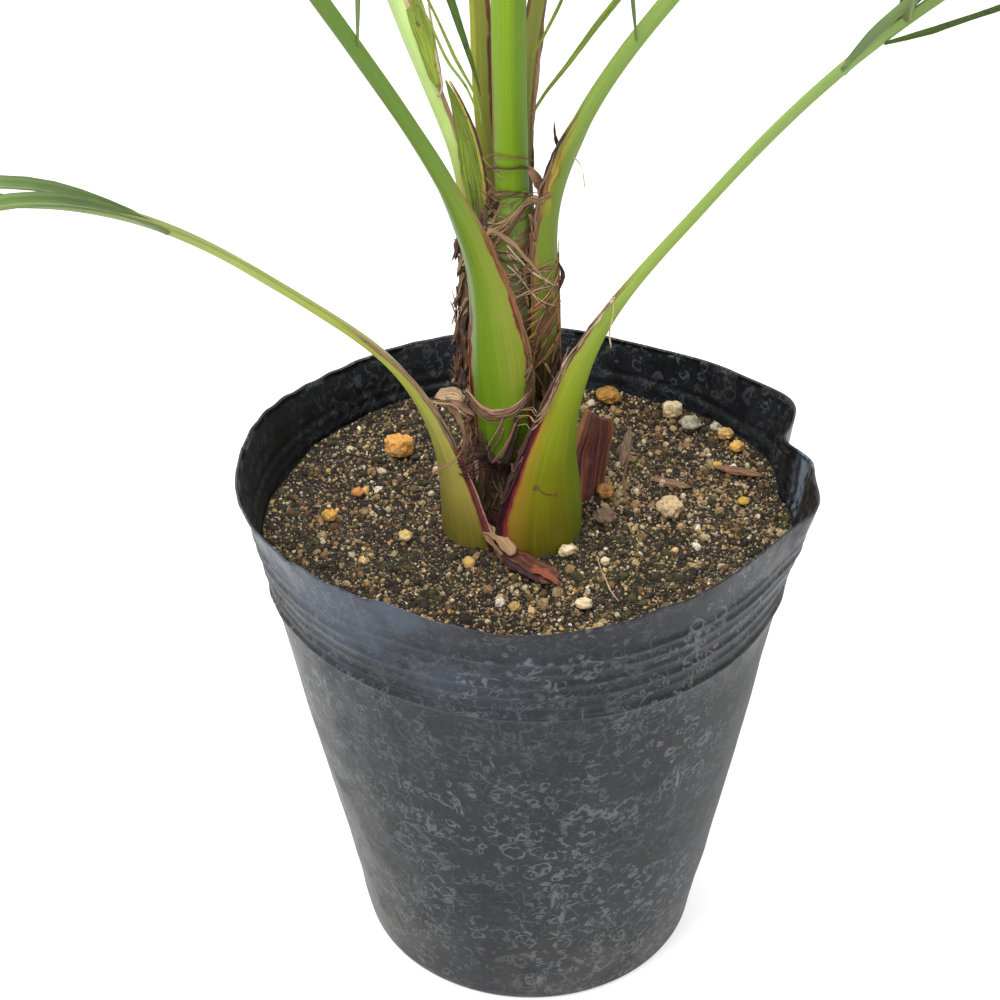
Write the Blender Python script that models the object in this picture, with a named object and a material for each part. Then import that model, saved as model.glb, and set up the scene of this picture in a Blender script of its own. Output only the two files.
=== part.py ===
"""Potted young Canary Island date palm in a soft black nursery pot.

Origin: centre of the pot's flat bottom, which stands on z = 0.  +Z is up, -Y is the front.
Pieces: the pot, the potting mix, the palm's short stem, eight pinnate fronds (petiole, rachis and
leaflets grown as one), the unopened spear leaf, two dry leaf scales, and the loose pumice stones and
splinters that lie on the mix.
"""
import math
import random

import bmesh
import bpy
import numpy as np
from mathutils import Vector
from mathutils.bvhtree import BVHTree

MM = 0.001
GAP = 0.3 * MM                    # air between two pieces that touch

# pot: a 21 cm nursery pot of thin soft plastic
POT_HEIGHT = 215 * MM
FOOT_RADIUS = 69 * MM
FOOT_ROUNDING = 1.5 * MM          # how far the lowest edge turns in
RIM_RADIUS = 106 * MM
RIM_LEAN = -2.4 * MM              # the rim sits this far to the left of the foot
WALL = 1.0 * MM
FLOOR = 1.6 * MM
POT_SIDES = 40
RIB_HEIGHTS = (172 * MM, 180 * MM, 188 * MM, 196 * MM)
RIB_DEPTH = 0.7 * MM
FOLD_ANGLE = 3.0                  # degrees: the crease where the rim is pushed in
FLAP_ANGLE = -13.0                # degrees: the torn flap that bulges beside it
SQUEEZE_ANGLE = -38.0             # degrees: the right front of the rim is pressed in
SQUEEZE_DEPTH = 2.5               # how deep, in mm
DRAIN_COUNT = 6
DRAIN_RADIUS = 5 * MM
DRAIN_CIRCLE = 45 * MM

# potting mix
SOIL_LEVEL = 191 * MM
SOIL_RINGS = (0.88, 0.72, 0.52, 0.3)        # rings on the surface, as shares of its radius

# palm: everything grows round this upright axis
PALM_X = -8 * MM
PALM_Y = 2 * MM
STEM_SIDES = 24
# height above the soil level and radius, both in mm
STEM_PROFILE = ((-36, 14.0), (-20, 17.5), (0, 18.5), (35, 17.0), (60, 14.8), (104, 12.6), (119, 12.2))

OUTER_STEPS = (-1.0, -0.5, 0.0, 0.5, 1.0)     # across a petiole's outer face, margin to margin
INNER_STEPS = (1.0, 0.0, -1.0)                # and back across its inner face
MARGIN_SHARE = 0.22                           # margin thickness as a share of the midrib's

# Each frond, in mm from the palm's axis at soil level: seat angle in degrees round the stem, first
# height, stand_off from the stem's side, the route of the inner face's midline, full width and
# thickness along the route, wrap (1 hugs the stem), where the leaflets begin, how many there are on
# a side, and the length and width of the longest. Swing is how far leaflets open from the rachis,
# first to last, and lift how far they rise and by how much that varies, all in degrees.
FRONDS = (
    dict(name="frond_low_left", seat=212, height=-4,
         route=((-20.5, -19.5, 32), (-35.5, -34, 78), (-68, -60.5, 122.3), (-108.5, -98, 167),
                (-150, -133, 187), (-235, -165, 165.5), (-320, -190, 106), (-385, -205, 30)),
         width=((0, 34), (20, 28), (40, 20.5), (60, 15.5), (80, 12), (100, 9), (120, 6.6), (145, 5.8),
                (500, 3)),
         depth=((0, 7.5), (30, 6.5), (60, 5), (100, 3.6), (150, 3), (500, 2)),
         wrap=((0, 1), (60, 0.35), (120, 0)),
         blade=219, pairs=9, leaflet=(150, 13), spines=0, swing=(13, 42), lift=(12, 8),
         colour=(0.16, 0.22, 0.05)),
    dict(name="frond_low_right", seat=310, height=-4,
         route=((13, -24, 38), (21, -31, 79), (31.7, -38, 106), (51.5, -50, 140), (92, -78, 203.5),
                (186, -104, 282.3), (252, -115, 322), (345, -128, 345), (440, -145, 340)),
         width=((0, 32), (10, 40.5), (22, 40), (42, 30.5), (62, 22.5), (83, 17.5), (100, 12.5),
                (115, 9), (130, 7), (150, 6), (600, 3)),
         depth=((0, 11.5), (20, 9.5), (40, 6.8), (60, 5.5), (110, 4), (150, 3), (600, 2)),
         wrap=((0, 0.8), (60, 0.6), (130, 0)),
         blade=250, pairs=9, leaflet=(160, 15), spines=0, swing=(36, 30), lift=(24, 10),
         colour=(0.16, 0.22, 0.05)),
    dict(name="frond_front_left", seat=262, height=36,
         route=((-4, -21, 63), (-9, -26, 111), (-22.5, -41, 154), (-38.8, -62, 192), (-63, -87, 240.5),
                (-107.5, -125, 321), (-190, -180, 430), (-280, -235, 510), (-370, -290, 545)),
         width=((0, 19), (27, 22), (41, 22.2), (50, 20), (58, 17.4), (68, 14.8), (78, 12.4), (88, 10.8),
                (100, 9.6), (120, 6.6), (150, 5.7), (300, 5.5), (740, 3)),
         depth=((0, 4.5), (60, 6), (120, 4.5), (200, 4), (740, 2)),
         wrap=((0, 1), (60, 0.7), (130, 0.2), (200, 0)),
         blade=265, pairs=14, leaflet=(190, 13), spines=3, colour=(0.12, 0.25, 0.05)),
    dict(name="frond_centre", seat=270, height=119.6, stand_off=-5.5,
         route=((-1, -13, 149), (-2, -27, 208), (-4, -70, 380), (5, -150, 550), (15, -235, 650),
                (22, -320, 680)),
         width=((0, 11.5), (300, 10.5), (690, 3)),
         depth=((0, 4.5), (60, 6), (200, 5), (690, 2)), wrap=((0, 0.4), (60, 0)),
         blade=265, pairs=14, leaflet=(200, 13), spines=3, colour=(0.13, 0.27, 0.05)),
    dict(name="frond_right", seat=-42, height=58,
         route=((10.4, -11.3, 108), (10.9, -13.5, 131), (17.1, -19.2, 157), (24.5, -21.8, 174),
                (45, -34, 210), (110, -60, 305), (185, -85, 400), (290, -115, 500), (400, -150, 545)),
         width=((0, 14), (50, 12.4), (68, 11), (82, 12.4), (103, 13.4), (112, 8.4), (130, 7.6),
                (260, 6.8), (650, 3)),
         depth=((0, 4.5), (60, 4.5), (200, 4.5), (650, 2)), wrap=((0, 1), (60, 0.6), (110, 0)),
         blade=265, pairs=13, leaflet=(180, 12), spines=3, colour=(0.13, 0.24, 0.05)),
    dict(name="frond_left", seat=185, height=58,
         route=((-14.8, -1, 104), (-17, 3, 143), (-24.5, 10, 163), (-37, 26, 190), (-87, 52, 290),
                (-157, 88, 410), (-235, 130, 515), (-330, 165, 590), (-415, 195, 605)),
         width=((0, 14), (50, 12.5), (105, 13), (130, 17), (200, 16), (300, 8), (730, 3)),
         depth=((0, 4.5), (60, 4), (130, 5.5), (200, 5), (730, 2)),
         wrap=((0, 1), (80, 0.9), (160, 0.9), (240, 0.3)),
         blade=275, pairs=14, leaflet=(190, 12), spines=3, colour=(0.12, 0.22, 0.06)),
    dict(name="frond_back_left", seat=135, height=119.6, stand_off=-6.3,
         route=((-9, 13, 149), (-11, 33, 188), (-30, 70, 290), (-55, 115, 420), (-95, 185, 590),
                (-145, 265, 680), (-195, 345, 700)),
         width=((0, 8), (60, 9), (200, 8), (300, 7.5), (750, 3)),
         depth=((0, 3.5), (60, 5), (200, 4.5), (750, 2)), wrap=((0, 0.3), (60, 0)),
         blade=245, pairs=14, leaflet=(190, 12), spines=3, colour=(0.13, 0.2, 0.05)),
    dict(name="frond_back_right", seat=48, height=119.6, stand_off=-6.3,
         route=((2.4, 13, 149), (7.3, 28, 190), (24, 55, 290), (54.5, 95, 410), (105, 160, 550),
                (165, 245, 635), (225, 330, 650)),
         width=((0, 8), (60, 8), (200, 7.5), (300, 7), (710, 3)),
         depth=((0, 3.5), (60, 5), (200, 4.5), (710, 2)), wrap=((0, 0.3), (60, 0)),
         blade=235, pairs=14, leaflet=(190, 12), spines=3, colour=(0.13, 0.2, 0.05)),
)

# Dry scales: the same section as a petiole's foot, with no blade.
SCALES = (
    dict(name="old_scale_right", seat=14, facing=-40, height=-4, stand_off=11,
         route=((31, 12, 16), (33.5, 14, 36)),
         width=((0, 12), (14, 22), (26, 27), (38, 24)), depth=((0, 1.8), (40, 1.2)),
         wrap=((0, 0.8), (40, 0.5)), colour=(0.09, 0.02, 0.015)),
)

# Loose pieces on the mix: place from the pot's centre, size across, height share, colour.
STONES = (
    dict(name="pumice_orange_left", at=(-53, 44), size=11, flat=0.8, colour=(0.62, 0.3, 0.1)),
    dict(name="pumice_brown_back", at=(33, 84), size=10.5, flat=0.65, colour=(0.5, 0.25, 0.09)),
    dict(name="pumice_cream_back", at=(58, 70), size=8, flat=0.8, colour=(0.75, 0.62, 0.38)),
    dict(name="pumice_lump_back", at=(65, 59), size=9, flat=0.7, colour=(0.55, 0.53, 0.42)),
    dict(name="pumice_yellow_right", at=(78, 50), size=6.5, flat=0.8, colour=(0.7, 0.5, 0.2)),
    dict(name="pumice_amber_right", at=(82, 41), size=6, flat=0.8, colour=(0.68, 0.42, 0.14)),
    dict(name="pumice_amber_left", at=(-78, 1), size=6, flat=0.8, colour=(0.6, 0.35, 0.12)),
    dict(name="pumice_rust_left", at=(-68, 16), size=5, flat=0.8, colour=(0.5, 0.2, 0.06)),
    dict(name="pumice_yellow_left", at=(-48, -14), size=5.2, flat=0.8, colour=(0.72, 0.5, 0.2)),
    dict(name="pumice_cream_foot", at=(12, -27), size=6.5, flat=0.75, colour=(0.72, 0.58, 0.32)),
    dict(name="pumice_rust_right", at=(28, 10), size=6.5, flat=0.8, colour=(0.5, 0.22, 0.07)),
    dict(name="pumice_tan_right", at=(52, -2), size=10.5, flat=0.7, colour=(0.6, 0.45, 0.27)),
    dict(name="clod_right", at=(27, -9), size=8.3, flat=0.7, colour=(0.2, 0.12, 0.06)),
    dict(name="pumice_cream_front", at=(17, -58), size=6, flat=0.75, colour=(0.75, 0.62, 0.4)),
)
CHIPS = (
    dict(name="old_scale_front", at=(-1, -38), length=34, width=10, turn=-48, colour=(0.12, 0.04, 0.02)),
    dict(name="bark_chip_back", at=(81, 27), length=20, width=5, turn=-20, colour=(0.16, 0.07, 0.03)),
    dict(name="bark_chip_right", at=(54, 18), length=16, width=5, turn=-25, colour=(0.17, 0.09, 0.05)),
    dict(name="root_piece_right", at=(38, 46), length=30, width=4, turn=80, colour=(0.14, 0.08, 0.05)),
)


def remove_all_objects():
    for item in list(bpy.data.objects):
        bpy.data.objects.remove(item, do_unlink=True)


def make_material(name, colour, roughness=0.6, metallic=0.0):
    material = bpy.data.materials.new(name)
    material.use_nodes = True
    shader = material.node_tree.nodes["Principled BSDF"]
    shader.inputs["Base Color"].default_value = (*colour, 1.0)
    shader.inputs["Roughness"].default_value = roughness
    shader.inputs["Metallic"].default_value = metallic
    material.diffuse_color = (*colour, 1.0)
    return material


def add_object(name, mesh_data, material, sharp_angle=40.0):
    """Makes an object from a bmesh, closed and facing out."""
    bmesh.ops.recalc_face_normals(mesh_data, faces=mesh_data.faces)
    mesh = bpy.data.meshes.new(name)
    mesh_data.to_mesh(mesh)
    mesh_data.free()
    mesh.shade_smooth()
    mesh.set_sharp_from_angle(angle=math.radians(sharp_angle))
    item = bpy.data.objects.new(name, mesh)
    item.data.materials.append(material)
    bpy.context.collection.objects.link(item)
    return item


def cut(target, cutter):
    """Subtracts cutter from target; the cutter itself is left out of the part."""
    cutter.hide_render = True
    cutter.display_type = 'WIRE'
    modifier = target.modifiers.new("cut_" + cutter.name, 'BOOLEAN')
    modifier.operation = 'DIFFERENCE'
    modifier.solver = 'EXACT'
    modifier.object = cutter


def bridge(mesh_data, lower, upper):
    """Joins two rings of equal count with quads."""
    count = len(lower)
    for i in range(count):
        j = (i + 1) % count
        mesh_data.faces.new((lower[i], lower[j], upper[j], upper[i]))


# ---------------------------------------------------------------- pot

def bump(angle, centre, spread):
    """A smooth hump of height 1 round an angle in degrees."""
    away = (angle - centre + 180.0) % 360.0 - 180.0
    return math.exp(-(away / spread) ** 2)


def rim_height(angle):
    turn = math.radians(angle)
    wave = 1.2 * math.sin(2 * turn + 0.6) + 0.9 * math.sin(5 * turn) + 0.5 * math.sin(9 * turn + 1)
    dip = 2.5 * bump(angle, FOLD_ANGLE, 7) - 2.5 * bump(angle, SQUEEZE_ANGLE - 15, 25)
    return POT_HEIGHT + (wave - dip) * MM


def pot_radius(angle, share):
    """Outer radius of the wall at an angle (degrees) and a share 0..1 of the rim's height."""
    radius = FOOT_RADIUS + (RIM_RADIUS - FOOT_RADIUS) * share
    turn = math.radians(angle)
    slack = math.sin(math.pi * min(share, 1.0)) * 0.5 * math.sin(3 * turn + 7 * share)
    slack += share ** 4 * (0.8 * math.sin(4 * turn + 0.5) - SQUEEZE_DEPTH * bump(angle, SQUEEZE_ANGLE, 26))
    high = max(0.0, (share - 0.84) / 0.16)
    slack += high * (3.5 * bump(angle, FLAP_ANGLE, 8) - 6.0 * bump(angle, FOLD_ANGLE + 6, 12))
    slack += max(0.0, (share - 0.96) / 0.04) * 2.0 * bump(angle, 185, 60)
    return radius + slack * MM


def pot_heights():
    """Shares of the height where the wall has a ring: plain steps below, rib by rib above."""
    shares = [0.0, 0.02, 0.12, 0.3, 0.5, 0.66]
    for height in RIB_HEIGHTS:
        for step in (-2.2 * MM, 0.0, 2.2 * MM):
            shares.append((height + step) / POT_HEIGHT)
    shares += [0.92, 0.965, 1.0]
    return shares


def inner_shares():
    """The inner wall is plain, so it needs fewer rings."""
    return (0.02, 0.12, 0.3, 0.5, 0.66, 0.8, 0.92, 0.965, 1.0)


def rib(share):
    z = share * POT_HEIGHT
    return RIB_DEPTH if any(abs(z - height) < 0.1 * MM for height in RIB_HEIGHTS) else 0.0


def wall_point(angle, share, inset, ribbed=True):
    radius = pot_radius(angle, share) - inset
    if ribbed:
        radius += rib(share)
    if share == 0.0:
        radius -= FOOT_ROUNDING
    z = share * rim_height(angle)
    turn = math.radians(angle)
    lean = RIM_LEAN * share
    return Vector((radius * math.cos(turn) + lean, radius * math.sin(turn), z))


def pot_ring(mesh_data, share, inset, lift=0.0, ribbed=True):
    ring = []
    for i in range(POT_SIDES):
        point = wall_point(360.0 * i / POT_SIDES, share, inset, ribbed)
        point.z += lift
        ring.append(mesh_data.verts.new(point))
    return ring


def floor_ring(mesh_data, inset=0.0, lift=0.0):
    """The edge of the pot's floor inside, or of what lies on it."""
    return pot_ring(mesh_data, 0.0, 2 * WALL + inset, lift=FLOOR + lift)


def inner_wall_at(angle, z, inset):
    """A point inside the pot at height z, the inset away from the inner wall's facets."""
    for low, high in zip(inner_shares(), inner_shares()[1:]):
        lower = wall_point(angle, low, WALL + inset, ribbed=False)
        upper = wall_point(angle, high, WALL + inset, ribbed=False)
        if z <= upper.z:
            break
    return lower.lerp(upper, (z - lower.z) / (upper.z - lower.z))


def build_pot():
    mesh_data = bmesh.new()
    outer = [pot_ring(mesh_data, share, 0.0) for share in pot_heights()]
    inner = [pot_ring(mesh_data, share, WALL, ribbed=False) for share in inner_shares()]
    floor = floor_ring(mesh_data)
    for lower, upper in zip(outer, outer[1:]):
        bridge(mesh_data, lower, upper)
    bridge(mesh_data, outer[-1], inner[-1])
    for lower, upper in zip(inner, inner[1:]):
        bridge(mesh_data, lower, upper)
    bridge(mesh_data, floor, inner[0])
    for ring, height in ((outer[0], 0.0), (floor, FLOOR)):
        centre = mesh_data.verts.new((0.0, 0.0, height))
        for i in range(POT_SIDES):
            mesh_data.faces.new((ring[i], ring[(i + 1) % POT_SIDES], centre))
    pot = add_object("nursery_pot", mesh_data, make_material("black_polythene", (0.03, 0.035, 0.042), 0.55))
    for i in range(DRAIN_COUNT):
        turn = 2 * math.pi * (i + 0.56) / DRAIN_COUNT
        centre = (DRAIN_CIRCLE * math.cos(turn), DRAIN_CIRCLE * math.sin(turn))
        cut(pot, round_bar("drain_cutter_%d" % (i + 1), centre, -5 * MM, 5 * MM, DRAIN_RADIUS, 12))
    return pot


def round_bar(name, centre, low, high, radius, sides):
    mesh_data = bmesh.new()
    rings = []
    for z in (low, high):
        ring = []
        for i in range(sides):
            turn = 2 * math.pi * (i + 0.3) / sides
            ring.append(mesh_data.verts.new((centre[0] + radius * math.cos(turn),
                                             centre[1] + radius * math.sin(turn), z)))
        rings.append(ring)
    bridge(mesh_data, rings[0], rings[1])
    mesh_data.faces.new(reversed(rings[0]))
    mesh_data.faces.new(rings[1])
    return add_object(name, mesh_data, make_material(name, (0.5, 0.5, 0.5)))


# ---------------------------------------------------------------- potting mix

def soil_height(x, y):
    """Height of the mix: low along the left wall, heaped a little behind the palm."""
    swell = 1.6 * math.sin(41 * x + 0.8) * math.cos(53 * y) + 0.8 * math.sin(110 * x + 90 * y)
    slope = 22 * x + 12 * y
    return SOIL_LEVEL + (swell + slope - 0.5) * MM


def build_soil():
    mesh_data = bmesh.new()
    side = [floor_ring(mesh_data, GAP, GAP)]
    for share in inner_shares():
        if share * POT_HEIGHT < SOIL_LEVEL - 10 * MM:
            side.append(pot_ring(mesh_data, share, WALL + GAP, ribbed=False))
    rim = []
    for i in range(POT_SIDES):
        angle = 360.0 * i / POT_SIDES
        z = SOIL_LEVEL
        for _ in range(3):
            point = inner_wall_at(angle, z, 2 * GAP)
            z = soil_height(point.x, point.y)
        rim.append(mesh_data.verts.new((point.x, point.y, z)))
    side.append(rim)
    for lower, upper in zip(side, side[1:]):
        bridge(mesh_data, lower, upper)
    bottom = mesh_data.verts.new((0.0, 0.0, FLOOR + GAP))
    for i in range(POT_SIDES):
        mesh_data.faces.new((side[0][i], side[0][(i + 1) % POT_SIDES], bottom))
    edge = rim
    centre = Vector((RIM_LEAN * SOIL_LEVEL / POT_HEIGHT, 0.0, 0.0))
    for share in SOIL_RINGS:
        ring = []
        for vert in rim:
            x = centre.x + (vert.co.x - centre.x) * share
            y = centre.y + (vert.co.y - centre.y) * share
            ring.append(mesh_data.verts.new((x, y, soil_height(x, y))))
        bridge(mesh_data, edge, ring)
        edge = ring
    middle = mesh_data.verts.new((centre.x, centre.y, soil_height(centre.x, centre.y)))
    for i in range(POT_SIDES):
        mesh_data.faces.new((edge[i], edge[(i + 1) % POT_SIDES], middle))
    return add_object("potting_soil", mesh_data, make_material("potting_mix", (0.09, 0.06, 0.04), 0.95))


# ---------------------------------------------------------------- palm

def palm_point(x, y, z):
    """A point given in millimetres from the palm's axis at soil level."""
    return Vector((PALM_X + x * MM, PALM_Y + y * MM, SOIL_LEVEL + z * MM))


def stem_radius(height):
    """Stem radius in millimetres at a height in millimetres above the soil level."""
    heights, radii = zip(*STEM_PROFILE)
    return float(np.interp(height, heights, radii))


def build_stem(name="stem", grow=0.0, top=None):
    """The short stem: a lathed trunk of old leaf bases; grow makes the soil's cutter for it."""
    mesh_data = bmesh.new()
    rings = []
    for height, radius in STEM_PROFILE:
        if top is not None and height > top:
            break
        low = -grow if height == STEM_PROFILE[0][0] else 0.0
        ring = []
        for i in range(STEM_SIDES):
            turn = 2 * math.pi * i / STEM_SIDES
            ring.append(mesh_data.verts.new(palm_point((radius + grow) * math.cos(turn),
                                                       (radius + grow) * math.sin(turn), height + low)))
        rings.append(ring)
    for lower, upper in zip(rings, rings[1:]):
        bridge(mesh_data, lower, upper)
    mesh_data.faces.new(reversed(rings[0]))
    mesh_data.faces.new(rings[-1])
    return add_object(name, mesh_data, make_material(name + "_fibre", (0.16, 0.09, 0.04), 0.85))


def smooth_route(points, step=4.0):
    """Natural cubic spline through the points (mm), sampled about every step, with arc lengths."""
    knots = np.array(points, dtype=float)
    spans = np.linalg.norm(np.diff(knots, axis=0), axis=1)
    count = len(knots)
    system = np.zeros((count, count))
    right = np.zeros((count, 3))
    system[0, 0] = system[-1, -1] = 1.0
    for i in range(1, count - 1):
        system[i, i - 1:i + 2] = spans[i - 1], 2 * (spans[i - 1] + spans[i]), spans[i]
        right[i] = 6 * ((knots[i + 1] - knots[i]) / spans[i] - (knots[i] - knots[i - 1]) / spans[i - 1])
    bend = np.linalg.solve(system, right)
    samples = []
    for i, span in enumerate(spans):
        pieces = max(2, int(round(span / step)))
        for j in range(pieces):
            a = 1 - j / pieces
            b = j / pieces
            samples.append(a * knots[i] + b * knots[i + 1]
                           + ((a ** 3 - a) * bend[i] + (b ** 3 - b) * bend[i + 1]) * span ** 2 / 6)
    samples.append(knots[-1])
    samples = np.array(samples)
    lengths = np.r_[0.0, np.cumsum(np.linalg.norm(np.diff(samples, axis=0), axis=1))]
    return samples, lengths


def seat_radius(spec):
    """Distance of the inner face from the axis so that its flats clear the stem by the gap."""
    width = spec["width"][0][1]
    wrap = spec["wrap"][0][1]
    bare = stem_radius(spec["height"]) + GAP / MM + spec.get("stand_off", 0.0)
    half_step = 0.25 * width * wrap / bare
    return bare / math.cos(half_step)


class Frame:
    """Position, heading, adaxial normal and side vector at an arc length along a frond."""

    def __init__(self, spec):
        seat = math.radians(spec["seat"])
        self.radius = seat_radius(spec)
        root = (self.radius * math.cos(seat), self.radius * math.sin(seat), spec["height"])
        self.samples, self.lengths = smooth_route((root,) + tuple(spec["route"]))
        self.total = float(self.lengths[-1])
        headings = np.gradient(self.samples, self.lengths, axis=0)
        facing = math.radians(spec.get("facing", spec["seat"]))
        normal = np.array((-math.cos(facing), -math.sin(facing), 0.0))
        self.headings = []
        self.normals = []
        for heading in headings:
            heading = heading / np.linalg.norm(heading)
            normal = normal - heading * normal.dot(heading)
            normal = normal / np.linalg.norm(normal)
            self.headings.append(heading)
            self.normals.append(normal)
        self.headings = np.array(self.headings)
        self.normals = np.array(self.normals)

    def at(self, length):
        place, heading, normal = (np.array([np.interp(length, self.lengths, table[:, k]) for k in range(3)])
                                  for table in (self.samples, self.headings, self.normals))
        heading /= np.linalg.norm(heading)
        normal -= heading * normal.dot(heading)
        normal /= np.linalg.norm(normal)
        return place, heading, normal, np.cross(heading, normal)


def read_table(table, length):
    lengths, values = zip(*table)
    return float(np.interp(length, lengths, values))


def section(spec, frame, length, grow=0.0, level=None):
    """One ring of a petiole: outer face margin to margin, then back along the inner face."""
    place, heading, normal, side = frame.at(length)
    half = 0.5 * read_table(spec["width"], length) + grow
    depth = read_table(spec["depth"], length)
    curve = max(1e-4, read_table(spec["wrap"], length) / frame.radius)
    bend = 1.0 / curve
    ring = []
    for steps, outer in ((OUTER_STEPS, True), (INNER_STEPS, False)):
        for step in steps:
            turn = step * half * curve
            thick = depth * (MARGIN_SHARE + (1 - MARGIN_SHARE) * (1 - step ** 2)) + grow if outer else -grow
            point = place + side * ((bend + thick) * math.sin(turn))
            point = point + normal * (bend - (bend + thick) * math.cos(turn))
            if level is not None:
                point = point + heading * ((level - point[2]) / heading[2])
            ring.append(point)
    return ring


def add_ring(mesh_data, points):
    return [mesh_data.verts.new(palm_point(*point)) for point in points]


def leaflet_points(root, spec, frame, length, hand, reach, width):
    """Mid ring and tip of a folded leaflet that grows from the margin quad root (mm)."""
    place, heading, normal, side = frame.at(length)
    share = (length - spec["blade"]) / (frame.total - spec["blade"])
    first, last = spec.get("swing", (58, 28))
    middle, wave = spec.get("lift", (30, 12))
    swing = math.radians(first + (last - first) * share)
    lift = math.radians(middle + wave * math.sin(7.0 * share + hand))
    across = hand * math.cos(lift) * side + math.sin(lift) * normal
    ahead = math.cos(swing) * heading + math.sin(swing) * across
    wide = heading - ahead * heading.dot(ahead)
    wide = wide / np.linalg.norm(wide)
    keel = np.cross(ahead, wide) * hand
    if keel.dot(normal) < 0:
        keel = -keel
    base = np.mean(root, axis=0)
    middle = base + ahead * (0.4 * reach) + keel * (0.03 * reach)
    tip = base + ahead * reach - np.array((0.0, 0.0, 0.06 * reach))
    fold = 0.28 * width
    ring = (middle - keel * fold * 0.5, middle + wide * width * 0.5 + keel * fold * 0.5,
            middle - keel * (fold * 0.5 - 1.0), middle - wide * width * 0.5 + keel * fold * 0.5)
    return ring, tip


def leaflet_faces():
    """Corner numbers of a leaflet: 0-3 root quad, 4-7 mid ring, 8 tip."""
    faces = []
    for i in range(4):
        j = (i + 1) % 4
        faces += [(i, j, 4 + j, 4 + i), (4 + i, 4 + j, 8)]
    return faces


def blade_stations(spec, frame):
    """Arc lengths of the leaflet nodes, closer together towards the tip."""
    count = spec["pairs"]
    last = frame.total - 22
    return [spec["blade"] + (last - spec["blade"]) * (i / (count - 1)) ** 0.92 for i in range(count)]


def leaflet_size(spec, index):
    """Length and width (mm) of the leaflets at a node: spines low down, longest in the middle."""
    share = index / (spec["pairs"] - 1)
    reach, width = spec["leaflet"]
    if index < spec["spines"]:
        return 26 + 16 * index, 3.0
    swell = min(1.0, 0.55 + 1.5 * share) * (1 - 0.5 * max(0.0, share - 0.55) / 0.45)
    return reach * swell, width * min(1.0, 0.6 + share)


class FrondPlan:
    """Rings of one frond and the places where its leaflets can grow."""

    NODE_HALF = 3.0               # half the length of a node bay, mm

    def __init__(self, spec):
        self.spec = spec
        self.frame = Frame(spec)
        self.nodes = blade_stations(spec, self.frame)
        foot = [0.0, 12.0, 26.0, 42.0, 62.0, 88.0, 120.0, 160.0, 205.0, 255.0, 300.0]
        stations = [s for s in foot if s < spec["blade"] - 14]
        for node in self.nodes:
            stations += [node - self.NODE_HALF, node + self.NODE_HALF]
        self.rings = [section(spec, self.frame, s) for s in stations]
        if spec["height"] > 100:
            self.rings[0] = section(spec, self.frame, 0.0, level=spec["height"])
        place, heading, normal, side = self.frame.at(self.frame.total)
        self.tip = place + heading * 6.0
        self.first_node = len(stations) - 2 * len(self.nodes)
        self.leaflets = []

    def margin_quad(self, index, hand):
        """Points of the margin face at a node: lower near, lower far, upper far, upper near."""
        near = self.rings[self.first_node + 2 * index]
        far = self.rings[self.first_node + 2 * index + 1]
        outer, inner = (4, 5) if hand > 0 else (0, 7)
        return near[outer], far[outer], far[inner], near[inner]

    def body_tree(self):
        points = [point for ring in self.rings for point in ring] + [self.tip]
        faces = []
        for k in range(len(self.rings) - 1):
            for i in range(8):
                j = (i + 1) % 8
                faces.append((8 * k + i, 8 * k + j, 8 * k + 8 + j, 8 * k + 8 + i))
        last = 8 * (len(self.rings) - 1)
        faces += [(last + i, last + (i + 1) % 8, len(points) - 1) for i in range(8)]
        return BVHTree.FromPolygons([Vector(point) for point in points], faces)


def grow_leaflets(plans, obstacles):
    """Gives every node its two leaflets, shortened until they pass all that has grown before."""
    bodies = [plan.body_tree() for plan in plans]
    grown = []
    for number, plan in enumerate(plans):
        others = [tree for i, tree in enumerate(bodies) if i != number] + obstacles
        for index, length in enumerate(plan.nodes):
            for hand in (-1, 1):
                root = plan.margin_quad(index, hand)
                reach, width = leaflet_size(plan.spec, index)
                for attempt in range(9):
                    ring, tip = leaflet_points(root, plan.spec, plan.frame, length, hand, reach, width)
                    if is_clear(root, ring, tip, others + grown):
                        break
                    reach *= 0.82
                    width *= 0.95
                else:
                    continue
                plan.leaflets.append((index, hand, ring, tip))
                grown.append(leaflet_tree(root, ring, tip, 0.0))


def leaflet_tree(root, ring, tip, margin):
    """Search tree of a leaflet, swollen by a margin (mm) away from its middle."""
    points = [Vector(point) for point in (*root, *ring, tip)]
    centre = sum(points[4:8], Vector()) / 4
    for i in range(4, 8):
        away = points[i] - centre
        points[i] = points[i] + away.normalized() * margin
    points[8] = points[8] + (points[8] - centre).normalized() * margin
    if margin > 0:
        for i in range(4):
            points[i] = points[i].lerp(centre, 0.06)
    return BVHTree.FromPolygons(points, leaflet_faces())


def is_clear(root, ring, tip, trees):
    candidate = leaflet_tree(root, ring, tip, 1.2)
    return not any(candidate.overlap(tree) for tree in trees)


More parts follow.
